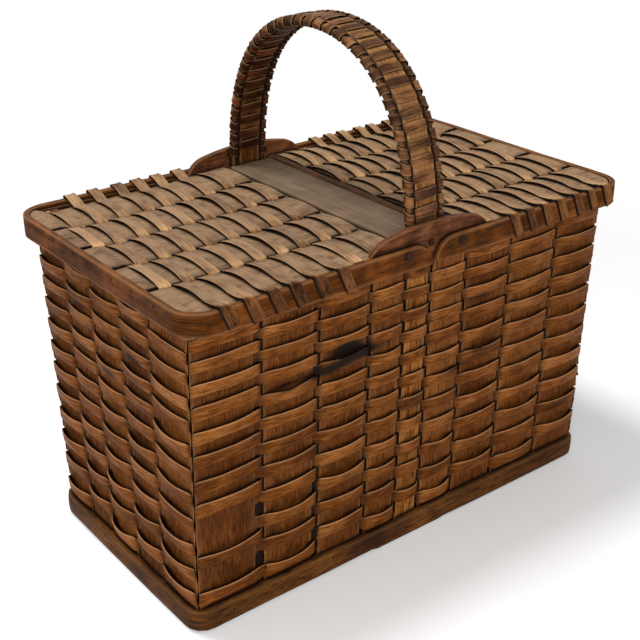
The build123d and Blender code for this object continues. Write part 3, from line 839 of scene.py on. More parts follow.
def finish_piece(
    mesh: bpy.types.Mesh, name: str, finish: Finish, body: Body, stands_for: tuple[str, ...] = (),
) -> bpy.types.Object:
    """Puts a mesh in the scene with its material and body, and reports it.

    Args:
        mesh: the mesh, in metres.
        name: name of the piece.
        finish: what it is made of.
        body: what it moves with.
        stands_for: frame nodes that it is shown in place of.

    Returns:
        The new object.
    """
    mesh.polygons.foreach_set("use_smooth", [True] * len(mesh.polygons))
    mesh.set_sharp_from_angle(angle=SHARP_ANGLE)
    mesh.materials.append(finish.material())
    piece = bpy.data.objects.new(name, mesh)
    bpy.context.scene.collection.objects.link(piece)
    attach(piece, body.value)
    if stands_for:
        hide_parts(*stands_for)
    LOG.info("%s: %d points", name, len(mesh.vertices))
    return piece


def dress_node(node: str, finish: Finish, edge: float, segments: int = 2) -> None:
    """Gives a frame node its material and softens its edges.

    Args:
        node: name of the frame node.
        finish: what it is made of.
        edge: radius of its worn edges, in millimetres.
        segments: steps of each worn edge.
    """
    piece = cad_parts[node]
    piece.data.materials.clear()
    piece.data.materials.append(finish.material())
    piece.data.polygons.foreach_set("use_smooth", [True] * len(piece.data.polygons))
    weld = piece.modifiers.new("weld", "WELD")
    weld.merge_threshold = WELD_MM * MM
    bevel = piece.modifiers.new("worn_edges", "BEVEL")
    bevel.width = edge * MM
    bevel.segments = segments
    bevel.limit_method = "ANGLE"
    bevel.angle_limit = WORN_ANGLE
    bevel.harden_normals = False
    smooth = piece.modifiers.new("weighted", "WEIGHTED_NORMAL")
    smooth.keep_sharp = True
    LOG.info("%s: dressed", node)


@dataclass
class Tacks:
    """Heads of small forged tacks, each one hammered a little differently."""

    name: str
    radius: float
    body: Body
    height: float = 0.5
    corners: int = 7
    profile: tuple[tuple[float, float], ...] = ((1.0, -0.6), (0.95, 0.3), (0.6, 0.85))
    unevenness: tuple[float, float] = (0.85, 1.1)

    def build(self, places: list[tuple[tuple[float, float, float], tuple[float, float, float]]]) -> None:
        """Builds the heads as rings of the profile, closed by a point.

        Args:
            places: a point and an outward direction for each tack.
        """
        rng = np.random.default_rng(len(self.name))
        size = self.corners
        points, faces = [], []
        for place, out in places:
            out = unit(np.array(out, float))
            side = unit(np.cross(out, UP + 0.01))
            other = np.cross(out, side)
            start = len(points)
            for reach, lift in self.profile:
                for corner in range(size):
                    angle = 2 * np.pi * corner / size
                    spread = self.radius * reach * rng.uniform(*self.unevenness)
                    way = np.cos(angle) * side + np.sin(angle) * other
                    points.append(np.array(place) + out * lift * self.height + spread * way)
            points.append(np.array(place) + out * self.height)
            corners = [(start + corner, start + (corner + 1) % size) for corner in range(size)]
            rings = len(self.profile)
            for first in range(0, (rings - 1) * size, size):
                faces += [(a + first, b + first, b + first + size, a + first + size) for a, b in corners]
            last = (rings - 1) * size
            faces += [(a + last, b + last, start + last + size) for a, b in corners]
            faces.append([a for a, _ in reversed(corners)])
        mesh = bpy.data.meshes.new(self.name)
        mesh.from_pydata((np.array(points) * MM).tolist(), [], faces)
        finish_piece(mesh, self.name, IRON, self.body)


class WallFace(NamedTuple):
    """One wall as a weaver meets it: the spans of its uprights, and how a run along it lies."""

    name: str
    spans: list[tuple[float, float]]
    corner: float
    middle: tuple[float, float]
    run_way: tuple[float, float]
    out_way: tuple[float, float]


@dataclass
class WallSizes:
    """Sizes of the walls that several classes share."""

    half_length: float = 216.3
    half_width_top: float = 116.2
    half_width_bottom: float = 107.2
    top: float = 284.0
    long_slit: float = 4.6
    end_slit: float = 3.4
    corner_gap: float = 2.8
    left_widths: tuple[float, ...] = (62.0, 55.0, 52.0, 36.0)
    right_widths: tuple[float, ...] = (40.0, 53.0, 58.0, 54.0)
    end_widths: tuple[float, ...] = (53.0, 45.0, 46.0, 43.0, 45.0)
    leg_half: float = 11.5
    rows: int = 22
    row_top: float = 262.0
    row_bottom: float = 22.4
    row_spread: float = 0.42
    splint: float = 8.8

    def half_width_at(self, height: Along) -> Along:
        """Half the width between the middles of the long walls at a height."""
        return self.half_width_bottom + (self.half_width_top - self.half_width_bottom) * height / self.top

    def is_leg(self, start: float, end: float) -> bool:
        """Whether a span of a wall is the narrow one of the handle's leg."""
        return end - start < 2 * self.leg_half + 0.1

    def spread(
        self, widths: tuple[float, ...], start: float, end: float, slit: float
    ) -> list[tuple[float, float]]:
        """Spans of splints side by side.

        Args:
            widths: their widths, which keep their proportions.
            start: where the first one starts.
            end: where the last one ends.
            slit: gap between two of them.

        Returns:
            The start and end of each splint.
        """
        scale = (end - start + slit) / sum(widths)
        spans = []
        for width in widths:
            spans.append((start, start + width * scale - slit))
            start += width * scale
        return spans

    def long_spans(self) -> list[tuple[float, float]]:
        """Spans of a long wall from left to right, the handle's leg in the middle.

        Returns:
            The start and end of each upright.
        """
        edge = self.half_length - self.corner_gap
        slit = self.long_slit
        left = self.spread(self.left_widths, -edge, -self.leg_half - slit, slit)
        right = self.spread(self.right_widths, self.leg_half + slit, edge, slit)
        return left + [(-self.leg_half, self.leg_half)] + right

    def end_spans(self) -> list[tuple[float, float]]:
        """Spans of an end wall at the rim, from front to back."""
        edge = self.half_width_top - self.corner_gap
        return self.spread(self.end_widths, -edge, edge, self.end_slit)

    def faces(self, height: float) -> tuple[WallFace, ...]:
        """The four walls at a height.

        Args:
            height: the height.

        Returns:
            The walls in the order in which a weaver goes round them.
        """
        reach, half_width = self.half_length, self.half_width_at(height)
        squeeze = half_width / self.half_width_top
        front = self.long_spans()
        right = [(start * squeeze, end * squeeze) for start, end in self.end_spans()]
        back, left = ([(-end, -start) for start, end in reversed(spans)] for spans in (front, right))
        return (
            WallFace("front", front, reach, (0, -half_width), (1, 0), (0, -1)),
            WallFace("right", right, half_width, (reach, 0), (0, 1), (1, 0)),
            WallFace("back", back, reach, (0, half_width), (-1, 0), (0, 1)),
            WallFace("left", left, half_width, (-reach, 0), (0, -1), (-1, 0)),
        )

    def row_pitch(self, row: int) -> float:
        """Distance from one row's top to the next one's."""
        tightest = (self.row_top - self.row_bottom) / (self.rows * (1 + self.row_spread / 2))
        return tightest * (1 + self.row_spread * row / (self.rows - 1))

    def row_heights(self) -> list[float]:
        """Middle heights of the weavers from the top row down.

        Returns:
            One height for each row.
        """
        heights, top = [], self.row_top
        for row in range(self.rows):
            heights.append(top - self.splint / 2)
            top -= self.row_pitch(row)
        return heights


@dataclass(frozen=True)
class Row:
    """One row of the wall's weave: its number from the top, and its middle height, pitch, width and tone."""

    number: int
    height: float
    pitch: float
    width: float
    tone: float


class Crossing(NamedTuple):
    """A weaver's run over one upright, as parts of a splint."""

    line: np.ndarray
    across: np.ndarray
    low: np.ndarray
    high: np.ndarray
    cup: np.ndarray
    tone: np.ndarray
    grime_and_shade: np.ndarray


@dataclass
class WallWeave:
    """Weavers round the walls: each bows out over one upright and dips in behind the next.

    Two weavers have slipped behind the first uprights of the front wall; their hidden runs there are painted
    near-black, as the shade of the gaps they leave.
    """

    walls: WallSizes
    offset: float = 1.3
    leg_extra: float = 1.3
    thickness: float = 1.0
    width_share: tuple[float, float] = (1.1, 1.22)
    past_upright: float = 0.4
    lean: tuple[float, float] = (0.2, 0.42)
    left_lean: tuple[float, float] = (0.2, 0.4)
    full_lean_length: float = 48.0
    lean_growth: tuple[float, float] = (0.8, 1.2)
    play: tuple[float, float] = (0.2, 1.4)
    left_play: float = 1.3
    inside_bow: float = 0.4
    inside_lean: float = 0.3
    bow_power: float = 0.6
    sag: float = 0.2
    uneven_height: float = 0.45
    uneven_slope: float = 0.5
    uneven_width: float = 0.5
    uneven_edge: float = 0.4
    uneven_tone: float = 0.07
    uneven_row_tone: float = 0.04
    cup: tuple[float, float] = (0.2, 0.6)
    cup_share: tuple[float, float] = (0.3, 1.2)
    free_width: float = 0.92
    slit_reach: float = 1.6
    slit_shade: float = 0.5
    inside_shade: float = 0.3
    samples: int = 17
    slipped_rows: tuple[int, ...] = (16, 20)
    slipped_uprights: int = 2
    slipped_shade: float = 4.0
    seed: int = 11

    def crossing(
        self, rng: np.random.Generator, row: Row, face: WallFace, index: int, side: Side
    ) -> Crossing:
        """Works out a weaver's run over one upright.

        Args:
            rng: source of its unevenness.
            row: the weaver's row.
            face: the wall.
            index: number of the upright in that wall.
            side: which face of the upright the weaver should pass.

        Returns:
            The run.
        """
        slipped = face.name == "front" and index < self.slipped_uprights and row.number in self.slipped_rows
        if slipped:
            side = Side.INSIDE
        elif face.name == "front" and index == 0 and row.number == self.walls.rows - 1:
            side = Side.OUTSIDE
        outside = side is Side.OUTSIDE
        start, end = face.spans[index]
        first, last = start - self.past_upright, end + self.past_upright
        if outside and index == 0:
            first = -face.corner
        if outside and index == len(face.spans) - 1:
            last = face.corner
        length = last - first
        share = eased(self.samples)
        shape = np.sin(np.pi * share) ** self.bow_power
        lower = row.number / (self.walls.rows - 1)
        growth = self.lean_growth[0] + (self.lean_growth[1] - self.lean_growth[0]) * lower
        on_left = face.name == "left"
        lean = rng.uniform(*(self.left_lean if on_left else self.lean))
        lean *= growth * min(1.0, length / self.full_lean_length)
        bow = lean * row.width / 2 + rng.uniform(*self.play) * (self.left_play if on_left else 1.0)
        offset = self.offset
        if not outside:
            bow, lean = bow * self.inside_bow, lean * self.inside_lean
            offset += self.leg_extra if self.walls.is_leg(start, end) else 0.0
        run = first + length * share
        out = side.value * (offset + bow * shape)
        drop = rng.normal(0, self.uneven_height) - self.sag * bow * shape
        drop = drop + rng.normal(0, self.uneven_slope) * (share - 0.5)
        run_way, out_way = np.array((*face.run_way, 0.0)), np.array((*face.out_way, 0.0))
        line = np.array((*face.middle, row.height)) + run[:, None] * run_way + out[:, None] * out_way
        line[:, 2] += drop
        wall_lean = (self.walls.half_width_top - self.walls.half_width_bottom) / self.walls.top
        rise = unit(UP + out_way * (wall_lean if face.run_way[0] else 0.0))
        across = rise + (side.value * lean * shape)[:, None] * out_way
        tone = row.tone + rng.normal(0, self.uneven_tone) + wander(rng, run, wave=50, amount=0.06)
        near_slit = np.exp(-np.minimum(share, 1 - share) * length / self.slit_reach)
        # Painted shade: darker where the weaver dips into a slit and all along its inside runs, and
        # near-black where it has slipped behind, in place of the gap's shadow
        grime_and_shade = self.slit_shade * near_slit
        if not outside:
            grime_and_shade += self.slipped_shade if slipped else self.inside_shade
        width = row.width + rng.normal(0, self.uneven_width)
        pinch = max(width - self.free_width * row.pitch, 0) / 2 * near_slit
        edge = wander(rng, run, wave=60, amount=self.uneven_edge)
        cup = side.value * (self.cup[0] + (self.cup[1] - self.cup[0]) * shape) * rng.uniform(*self.cup_share)
        return Crossing(line, across, -width / 2 + edge + pinch, width / 2 + edge - pinch, cup, tone, grime_and_shade)

    def weaver(self, pile: SplintPile, number: int, height: float, side: Side) -> None:
        """Adds one weaver to the pile.

        Args:
            pile: the pile.
            number: the weaver's row from the top.
            height: its middle height.
            side: which face of the first upright it passes.
        """
        rng = pile.rng
        tone = rng.normal(0, self.uneven_row_tone)
        pitch = self.walls.row_pitch(number)
        row = Row(number, height, pitch, pitch * rng.uniform(*self.width_share), tone)
        crossings = []
        for face in self.walls.faces(height):
            for index in range(len(face.spans)):
                crossings.append(self.crossing(rng, row, face, index, side))
                side = side.other()
        whole = Crossing(*(np.concatenate(parts) for parts in zip(*crossings)))
        # The top edge is paler than the low edge: wear, and a painted highlight where light catches it
        pile.add(Splint(**whole._asdict(), thickness=self.thickness, columns=6, low_wear_and_highlight=0.2))

    def build(self) -> None:
        """Builds all the weavers of the walls as one piece."""
        pile = SplintPile(self.seed)
        side = Side.OUTSIDE
        for number, height in enumerate(self.walls.row_heights()):
            self.weaver(pile, number, height, side)
            side = side.other()
        pile.make("wall_weave", WALL_WEAVER, Body.BASKET, "weaver_splint", "wall_weavers")


@dataclass
class Uprights:
    """Wide upright splints of the four walls, pressed in and out by the weavers."""

    walls: WallSizes
    foot: float = 2.2
    top_gap: float = 0.4
    thickness: float = 1.2
    press: float = 0.45
    pulled_in: tuple[float, ...] = (3.8, 2.0, 0.6, 0.2, 0.0, 0.2, 0.4, 0.6, 0.0)
    end_pulled_in: float = 0.3
    to_corner: float = 2.0
    hinge_place: float = 28.5
    hinge_relief: float = 5.8
    cup: tuple[float, float] = (0.0, 0.5)
    uneven_tone: float = 0.1
    uneven_edge: float = 0.35
    samples: int = 90
    seed: int = 23

    def wall(self, name: str, out_way: tuple[int, int]) -> None:
        """Builds the uprights of one wall.

        Args:
            name: the wall's name.
            out_way: the way out of the basket, as x and y.
        """
        pile = SplintPile(self.seed + len(name))
        rng = pile.rng
        walls = self.walls
        long_wall = out_way[0] == 0
        spans = walls.long_spans() if long_wall else walls.end_spans()
        out = np.array((*out_way, 0.0))
        top = walls.top - self.top_gap
        height = np.linspace(self.foot, top, self.samples)
        half_width = walls.half_width_at(height)
        squeeze = np.ones(self.samples) if long_wall else half_width / walls.half_width_top
        knots = [self.foot, *walls.row_heights()[::-1], top]
        for index, (start, end) in enumerate(spans):
            if long_wall and walls.is_leg(start, end):
                continue
            start -= self.to_corner if index == 0 else 0.0
            end += self.to_corner if index == len(spans) - 1 else 0.0
            pull = self.pulled_in[index] if long_wall else self.end_pulled_in
            waves = [-1 if (index + row) % 2 == 0 else 1 for row in reversed(range(walls.rows))]
            press = np.interp(height, knots, [0, *waves, 0]) * self.press
            middle = (start + end - (pull if long_wall else 0.0)) / 2 * squeeze
            if long_wall:
                line = np.stack((middle, out[1] * (half_width + press), height), axis=1)
            else:
                line = np.stack((out[0] * (walls.half_length + press), middle, height), axis=1)
            nearest, farthest = sorted((abs(start), abs(end)))
            if long_wall and nearest < self.hinge_place < farthest:
                line[:, 2] *= (top - self.hinge_relief) / top
            half = (end - start - pull) / 2 * squeeze
            left = wander(rng, height, wave=150, amount=self.uneven_edge)
            right = wander(rng, height, wave=130, amount=self.uneven_edge)
            cup = rng.uniform(*self.cup)
            tone = rng.normal(0, self.uneven_tone) + wander(rng, height, wave=120, amount=0.06)
            pile.add(Splint(
                line, np.cross(out, UP), -half + left, half - right, self.thickness, 8, cup, tone,
            ))
        pile.make(f"{name}_wall_uprights", WALL_UPRIGHT, Body.BASKET, "upright_splint", f"{name}_uprights")

    def build(self) -> None:
        """Builds the uprights of all four walls."""
        for name, out_way in (("front", (0, -1)), ("back", (0, 1)), ("left", (-1, 0)), ("right", (1, 0))):
            self.wall(name, out_way)


@dataclass
class BaseHoop:
    """Bent hoop round the foot, warped and scuffed by use."""

    walls: WallSizes
    height: float = 21.0
    thickness: float = 6.5
    corner: float = 16.0
    clearance: float = 0.7
    step: float = 6.0
    worn_top: float = 0.4
    lift: float = 0.9
    largest_lift: float = 1.6
    flat_foot: float = 40.0
    tack_height: float = 12.5
    tack_spread: float = 3.0
    tack_stand: float = 0.4
    long_tacks: tuple[float, ...] = (-188, -140, -86, -31, 28, 84, 142, 190)
    end_tacks: tuple[float, ...] = (-82, -30, 34, 80)
    seed: int = 31

    def build(self) -> None:
        """Builds the hoop with its tacks. It stands flat at the middle of each long side."""
        pile = SplintPile(self.seed)
        rng = pile.rng
        reach_x = self.walls.half_length + self.clearance + self.thickness / 2
        reach_y = self.walls.half_width_at(self.height) + self.clearance + self.thickness / 2
        level = loop_line(reach_x, reach_y, self.corner - self.thickness / 2, self.step)
        along = np.arange(len(level)) * self.step
        half = self.height / 2
        line = np.column_stack((level, np.full(len(level), half)))
        lift = np.clip(self.lift + wander(rng, along, wave=430, amount=0.8), 0.0, self.largest_lift)
        high = half + wander(rng, along, wave=260, amount=0.8) - self.worn_top
        low = -half + np.where(np.abs(level[:, 0]) < self.flat_foot, 0.0, lift)
        cup = 0.5 + wander(rng, along, wave=90, amount=0.25)
        grime_and_shade = np.clip(wander(rng, along, wave=120, amount=0.25), 0, 1)
        tone = wander(rng, along, wave=200, amount=0.2)
        pile.add(Splint(
            line, UP, low, high, self.thickness, 9, cup, tone, grime_and_shade, weather=0.25, inset=0.2,
        ))
        pile.make("base_hoop_bent", BASE_HOOP, Body.BASKET, "base_hoop_wood", "base_hoop")
        outer_x, outer_y = (reach + self.thickness / 2 + self.tack_stand for reach in (reach_x, reach_y))
        tacks = []
        for x in self.long_tacks:
            for side in (-1, 1):
                height = self.tack_height + rng.uniform(-self.tack_spread, self.tack_spread)
                tacks.append(((x, side * outer_y, height), (0, side, 0)))
        for y in self.end_tacks:
            for side in (-1, 1):
                height = self.tack_height + rng.uniform(-self.tack_spread, self.tack_spread)
                tacks.append(((side * outer_x, y, height), (side, 0, 0)))
        Tacks("base_hoop_tacks", radius=1.5, body=Body.BASKET).build(tacks)


@dataclass
class Handle:
    """Bent handle: a core between two ribs, woven over and under with one long splint."""

    walls: WallSizes
    top: float = 440.0
    half_span: float = 123.8
    flare_end: float = 280.0
    shoulder: float = 292.0
    rim_bottom: float = 264.0
    fullness: float = 0.62
    core_width: float = 23.0
    thickness: float = 5.0
    leg_thickness: float = 2.5
    leg_foot: float = 6.0
    leg_offset: float = 0.6
    leg_points: int = 30
    greying: float = 0.65
    greying_height: float = 70.0
    rib_width: float = 5.6
    rib_gap: float = 1.1
    rib_foot: float = 279.5
    turns: int = 34
    end_distance: float = 7.5
    splint_width: float = 8.4
    splint_thickness: float = 1.0
    splint_stand: float = 0.7
    core_crown: float = 0.9
    core_crown_share: tuple[float, float] = (0.75, 1.25)
    rib_crown: float = 1.1
    turn_before: float = 0.9
    turn_after: float = 1.0
    uneven_turn: float = 0.035
    pinch: float = 0.16
    pinch_reach: float = 2.2
    seed: int = 41

    def arch(self, count: int = 90) -> np.ndarray:
        """Middle line of the arch from the front shoulder over to the back one, as two Bezier curves.

        Args:
            count: points of each half.

        Returns:
            Two columns, y and z.
        """
        span, top = self.half_span - self.thickness / 2, self.top - self.thickness / 2
        rise = self.fullness * (top - self.shoulder)
        controls = np.array((
            (span, self.shoulder), (span, self.shoulder + rise), (self.fullness * span, top), (0, top),
        ))
        t = np.linspace(0, 1, count)[:, None]
        weights = np.hstack(((1 - t) ** 3, 3 * (1 - t) ** 2 * t, 3 * (1 - t) * t ** 2, t ** 3))
        half = weights @ controls
        return np.concatenate((half * np.array((-1, 1)), half[-2::-1]))

    def strip_line(self, foot: float) -> tuple[np.ndarray, np.ndarray]:
        """Middle line and thickness of a strip of the handle.

        Args:
            foot: how far down its legs reach.

        Returns:
            The line from the front leg's foot to the back leg's foot, and the thickness at each point.
        """
        heights = np.linspace(self.leg_foot, self.rim_bottom, self.leg_points)
        heights = heights[heights >= foot]
        legs = self.walls.half_width_at(heights) + self.leg_offset - self.leg_thickness / 2
        reach = self.half_span - self.thickness / 2
        flare = ((reach, max(foot, self.flare_end)), (reach, (self.flare_end + self.shoulder) / 2))
        leg = np.concatenate((np.column_stack((legs, heights)), flare))
        arch = self.arch()
        line = np.concatenate((leg * np.array((-1, 1)), arch, leg[::-1]))
        thin = np.full(len(heights), self.leg_thickness)
        thick = np.full(len(line) - 2 * len(thin), self.thickness)
        return np.column_stack((np.zeros(len(line)), line)), np.concatenate((thin, thick, thin))

    def build_core(self) -> None:
        """Builds the wide middle strip with its legs, greyer toward the top."""
        pile = SplintPile(self.seed)
        line, thick = self.strip_line(0.0)
        half = self.core_width / 2
        edge = wander(pile.rng, distances(line), wave=120, amount=0.25)
        aged = self.greying * np.clip((line[:, 2] - self.shoulder) / self.greying_height, 0, 1)
        # The inner face is browned darker: partly oil, partly painted shade where that face is in shadow
        pile.add(Splint(
            line, np.array((-1, 0, 0)), -half + edge, half + edge, thick, columns=7, cup=0.25,
            tone=0.3 * aged - 0.1, weather=aged, far_weather_and_shade=-0.9, inset=0.22,
        ))
        pile.make("handle_core_strip", HANDLE_WOOD, Body.BASKET, "handle_wood", "handle_core")

    def build_ribs(self) -> None:
        """Builds the two thin ribs beside the core."""
        for name, side in (("left", -1), ("right", 1)):
            pile = SplintPile(self.seed + 2 + side)
            line, thick = self.strip_line(self.rib_foot)
            line[:, 0] = side * (self.core_width / 2 + self.rib_gap + self.rib_width / 2)
            half = self.rib_width / 2
            # The inner face is browned darker: partly oil, partly painted shade where that face is in shadow
            pile.add(Splint(
                line, np.array((-1, 0, 0)), -half, half, thick, columns=5, tone=-0.4, grime_and_shade=0.3, weather=0.3,
                far_weather_and_shade=-0.8, inset=0.3,
            ))
            pile.make(f"{name}_handle_rib_rod", HANDLE_WOOD, Body.BASKET, "handle_wood", f"{name}_handle_rib")

    def binding_route(self, rng: np.random.Generator, gap: float) -> np.ndarray:
        """Route of the binding: each turn over the core and under the ribs, then back the other way.

        Args:
            rng: source of its unevenness.
            gap: middle of the gap between core and rib.

        Returns:
            Three columns: x, how far out from the arch's middle line, and how many turns along it.
        """
        side = self.core_width / 2 + self.rib_gap + self.rib_width + self.splint_stand
        face = self.thickness / 2 + self.splint_stand
        rib = gap + self.rib_width / 2 + 0.4
        half_way = [
            (side - self.turn_before, -face, 0.14), (rib, -face - self.rib_crown, 0.11),
            (gap + self.turn_after, -face, 0.08), (gap - self.turn_before, face, 0.05),
            (gap / 2, face + self.core_crown, 0.02),
        ]
        over = [(-side, 0.0, -0.25)] + [(-x, out, -share) for x, out, share in half_way] + half_way[::-1]
        route = []
        for turn in range(self.turns):
            nudge, lift = rng.normal(0, self.uneven_turn), rng.uniform(*self.core_crown_share)
            route += [(x, out * lift if out > 0 else out, turn + share + nudge) for x, out, share in over]
            # Draws that nothing uses: without them the later turns would lie differently
            rng.normal(size=len(over))
            if turn < self.turns - 1:
                nudge = rng.normal(0, self.uneven_turn)
                route += [(-x, -out, turn + 0.5 + share + nudge) for x, out, share in over]
                rng.normal(size=len(over))
        return rounded(np.array(route), 2)

    def build_binding(self) -> None:
        """Builds the long splint of the binding, pinched where it passes between core and ribs."""
        pile = SplintPile(self.seed + 5)
        rng = pile.rng
        arch = self.arch(240)
        along = distances(arch)
        pitch = (along[-1] - 2 * self.end_distance) / (self.turns - 1)
        gap = (self.core_width + self.rib_gap) / 2
        x, out, turn = self.binding_route(rng, gap).T
        spot = np.clip(self.end_distance + turn * pitch, 0, along[-1])
        tangent = unit(np.gradient(arch, axis=0))
        y, z, way_y, way_z = (np.interp(spot, along, column) for column in (*arch.T, *tangent.T))
        across = unit(np.column_stack((np.zeros(len(spot)), way_y, way_z)))
        outward = np.column_stack((across[:, 0], -across[:, 2], across[:, 1]))
        line = np.column_stack((x, y, z)) + outward * out[:, None]
        pinch = np.exp(-(((np.abs(x) - gap) / self.pinch_reach) ** 2))
        half = self.splint_width / 2 * (1 - self.pinch * pinch)
        length = distances(line)
        ragged = wander(rng, length, wave=37, amount=0.35) + wander(rng, length, wave=9, amount=0.12)
        tone = wander(rng, length, wave=240, amount=0.22) + wander(rng, length, wave=45, amount=0.12)
        # The passes on the underside of the arch are darker and browner: painted shade. The splint is also
        # darker where it squeezes between core and rib.
        under = 0.15 * (out < 0)
        pile.add(Splint(
            line, across, -half + ragged, half + ragged / 2, self.splint_thickness, columns=6, cup=0.25,
            tone=tone - under, grime_and_shade=0.4 * pinch + under, weather=np.where(out > 0, 0.1, -0.8),
        ))
        pile.make("handle_binding_splint", BINDING, Body.BASKET, "binding_splint", "handle_binding")

    def build(self) -> None:
        """Builds the whole handle."""
        self.build_core()
        self.build_ribs()
        self.build_binding()


@dataclass
class Lid:
    """A woven lid: a bent band on three sides, a thin hoop inside it and a panel of strips and weavers."""

    body: Body
    weavers: int
    inner_end: float
    strips_end: float
    front_wraps: range
    back_wraps: range
    seed: int
    # Lighter or darker for the whole panel; the right lid's lift is painted light, making up for the shade
    # that falls on it
    tone: float = 0.0
    end: float = 228.0
    top: float = 290.0
    band_height: float = 20.5
    band_thickness: float = 5.0
    corner: float = 24.0
    band_inside: float = 130.5
    ear_end: float = 3.0
    ear_round: float = 17.0
    pivot_x: float = 28.5
    pivot_height: float = 283.5
    pivot_stains: tuple[tuple[float, float], ...] = ((0.9, 5.5), (0.25, 14.0))
    hoop_thickness: float = 2.4
    hoop_height: float = 12.0
    hoop_drop: float = 4.4
    hoop_end: float = 70.0
    strips: int = 5
    strip_slit: float = 3.0
    strip_height: float = 286.0
    strip_thickness: float = 1.2
    weave_half_width: float = 123.4
    weave_end_gap: float = 8.0
    weaver_gap: float = 0.4
    weaver_thickness: float = 1.0
    wrap_reach: float = 18.5
    wrap_shorter: float = 2.5
    wrap_lift: float = 0.4
    wrapped_points: int = 3
    arch: float = 2.1
    lift: tuple[float, float] = (1.0, 2.4)
    past_strip: float = 0.3
    crossing_length: float = 48.0
    back_sag: float = 4.2
    sag_start: float = 6.0
    sag_length: float = 60.0
    rise_over_hoop: float = 1.1
    rise_start: float = 20.0
    rise_length: float = 12.0
    outer_reach: float = 3.4
    front_reach_share: float = 1.7
    tab_slant: float = 0.42
    tack_drop: float = 6.0
    tacks: tuple[float, ...] = (-92, -60, -31, -2, 30, 63, 94)
    side: int = field(init=False)
    word: str = field(init=False)
    panel_end: float = field(init=False)
    strip_reach: float = field(init=False)
    pile: SplintPile = field(init=False)

    def __post_init__(self) -> None:
        """Works out what follows from the sizes, and starts the pile of weavers."""
        self.side = -1 if self.body is Body.LEFT_LID else 1
        self.word = "left" if self.side < 0 else "right"
        self.panel_end = self.end - self.band_thickness - self.hoop_thickness - 0.2
        self.strip_reach = self.end - self.band_thickness - 0.4
        self.pile = SplintPile(self.seed)

    def strip_spans(self) -> list[tuple[float, float]]:
        """Spans of the wide strips from front to back.

        Returns:
            The start and end of each strip.
        """
        pitch = (2 * self.weave_half_width + self.strip_slit) / self.strips
        starts = [-self.weave_half_width + number * pitch for number in range(self.strips)]
        return [(start, start + pitch - self.strip_slit) for start in starts]

    def level(self, x: Along, y: float) -> Along:
        """How far the woven panel lies above its middle height. It hangs at the back and rises to the hoop.

        Args:
            x: distance from the middle of the basket.
            y: distance back from the middle of the lid.

        Returns:
            The height.
        """
        from_board = np.clip((x - self.strips_end - self.sag_start) / self.sag_length, 0, 1)
        to_back = np.clip(0.5 + y / (2 * self.weave_half_width), 0, 1) ** 1.3
        to_hoop = np.clip((x - self.panel_end + self.rise_start) / self.rise_length, 0, 1)
        hang = -self.back_sag * from_board * to_back
        return hang + (self.rise_over_hoop - hang) * to_hoop

    def bent_line(
        self, inner: float, outer: float, half_width: float, corner: float, height: float
    ) -> np.ndarray:
        """Level line along one arm, round the lid's end and back along the other arm.

        Args:
            inner: where the arms end.
            outer: how far out the lid's end is.
            half_width: half the distance between the arms.
            corner: radius of the corners.
            height: its height.

        Returns:
            The points, in the order that has the outside on their right.
        """
        arm_points, corner_points, end_points = 44, 12, 26
        turn = np.linspace(0, np.pi / 2, corner_points)
        arm = inner + (outer - corner - inner) * (1 - np.cos(np.linspace(0, np.pi / 2, arm_points)))
        bend = np.column_stack((
            outer - corner + corner * np.sin(turn), -half_width + corner - corner * np.cos(turn),
        ))
        front = np.concatenate((np.column_stack((arm, np.full(len(arm), -half_width)))[:-1], bend))
        end = np.linspace(-half_width + corner, half_width - corner, end_points)[1:-1]
        end = np.column_stack((np.full(len(end), outer), end))
        level = np.concatenate((front, end, front[::-1] * np.array((1, -1))))
        if self.side < 0:
            level = level[::-1] * np.array((-1, 1))
        return np.column_stack((level, np.full(len(level), height)))

    def build_band(self) -> None:
        """Builds the bent band with its rounded ears and the stains round their nails."""
        pile = SplintPile(self.seed + 1)
        rng = pile.rng
        half, columns = self.band_height / 2, 9
        half_thickness = self.band_thickness / 2
        line = self.bent_line(
            self.ear_end, self.end - half_thickness, self.band_inside + half_thickness,
            self.corner - half_thickness, self.top - half,
        )
        along = distances(line)
        out = np.abs(line[:, 0])
        short_of_round = np.maximum(self.ear_round - (out - self.ear_end), 0)
        drop = self.ear_round - np.sqrt(np.maximum(self.ear_round ** 2 - short_of_round ** 2, 0))
        high = half - drop + np.clip(wander(rng, along, wave=170, amount=0.3) - 0.3, -0.8, 0)
        low = -half + np.clip(wander(rng, along, wave=150, amount=0.3) + 0.2, 0, 0.8)
        share = eased(columns)
        heights = self.top - half + low[:, None] + (high - low)[:, None] * share
        away = np.hypot(out[:, None] - self.pivot_x, heights - self.pivot_height)
        grime_and_shade = sum(amount * np.exp(-((away / reach) ** 2)) for amount, reach in self.pivot_stains)
        grime_and_shade += 0.6 * np.clip(wander(rng, along, wave=80, amount=0.3), 0, 1)[:, None] * (1 - share)
        pile.add(Splint(
            line, UP, low, high, self.band_thickness, columns, cup=0.15,
            tone=wander(rng, along, wave=130, amount=0.16), grime_and_shade=grime_and_shade, weather=0.05, inset=0.24,
        ))
        name = f"{self.word}_lid_bent_band"
        pile.make(name, LID_BAND, self.body, "lid_band_wood", f"{self.word}_lid_band")

    def build_hoop(self) -> None:
        """Builds the thin hoop inside the band."""
        pile = SplintPile(self.seed + 2)
        half = self.hoop_height / 2
        line = self.bent_line(
            self.hoop_end, self.end - self.band_thickness - self.hoop_thickness / 2,
            self.band_inside - self.hoop_thickness / 2,
            self.corner - self.band_thickness - self.hoop_thickness / 2, self.top - self.hoop_drop - half,
        )
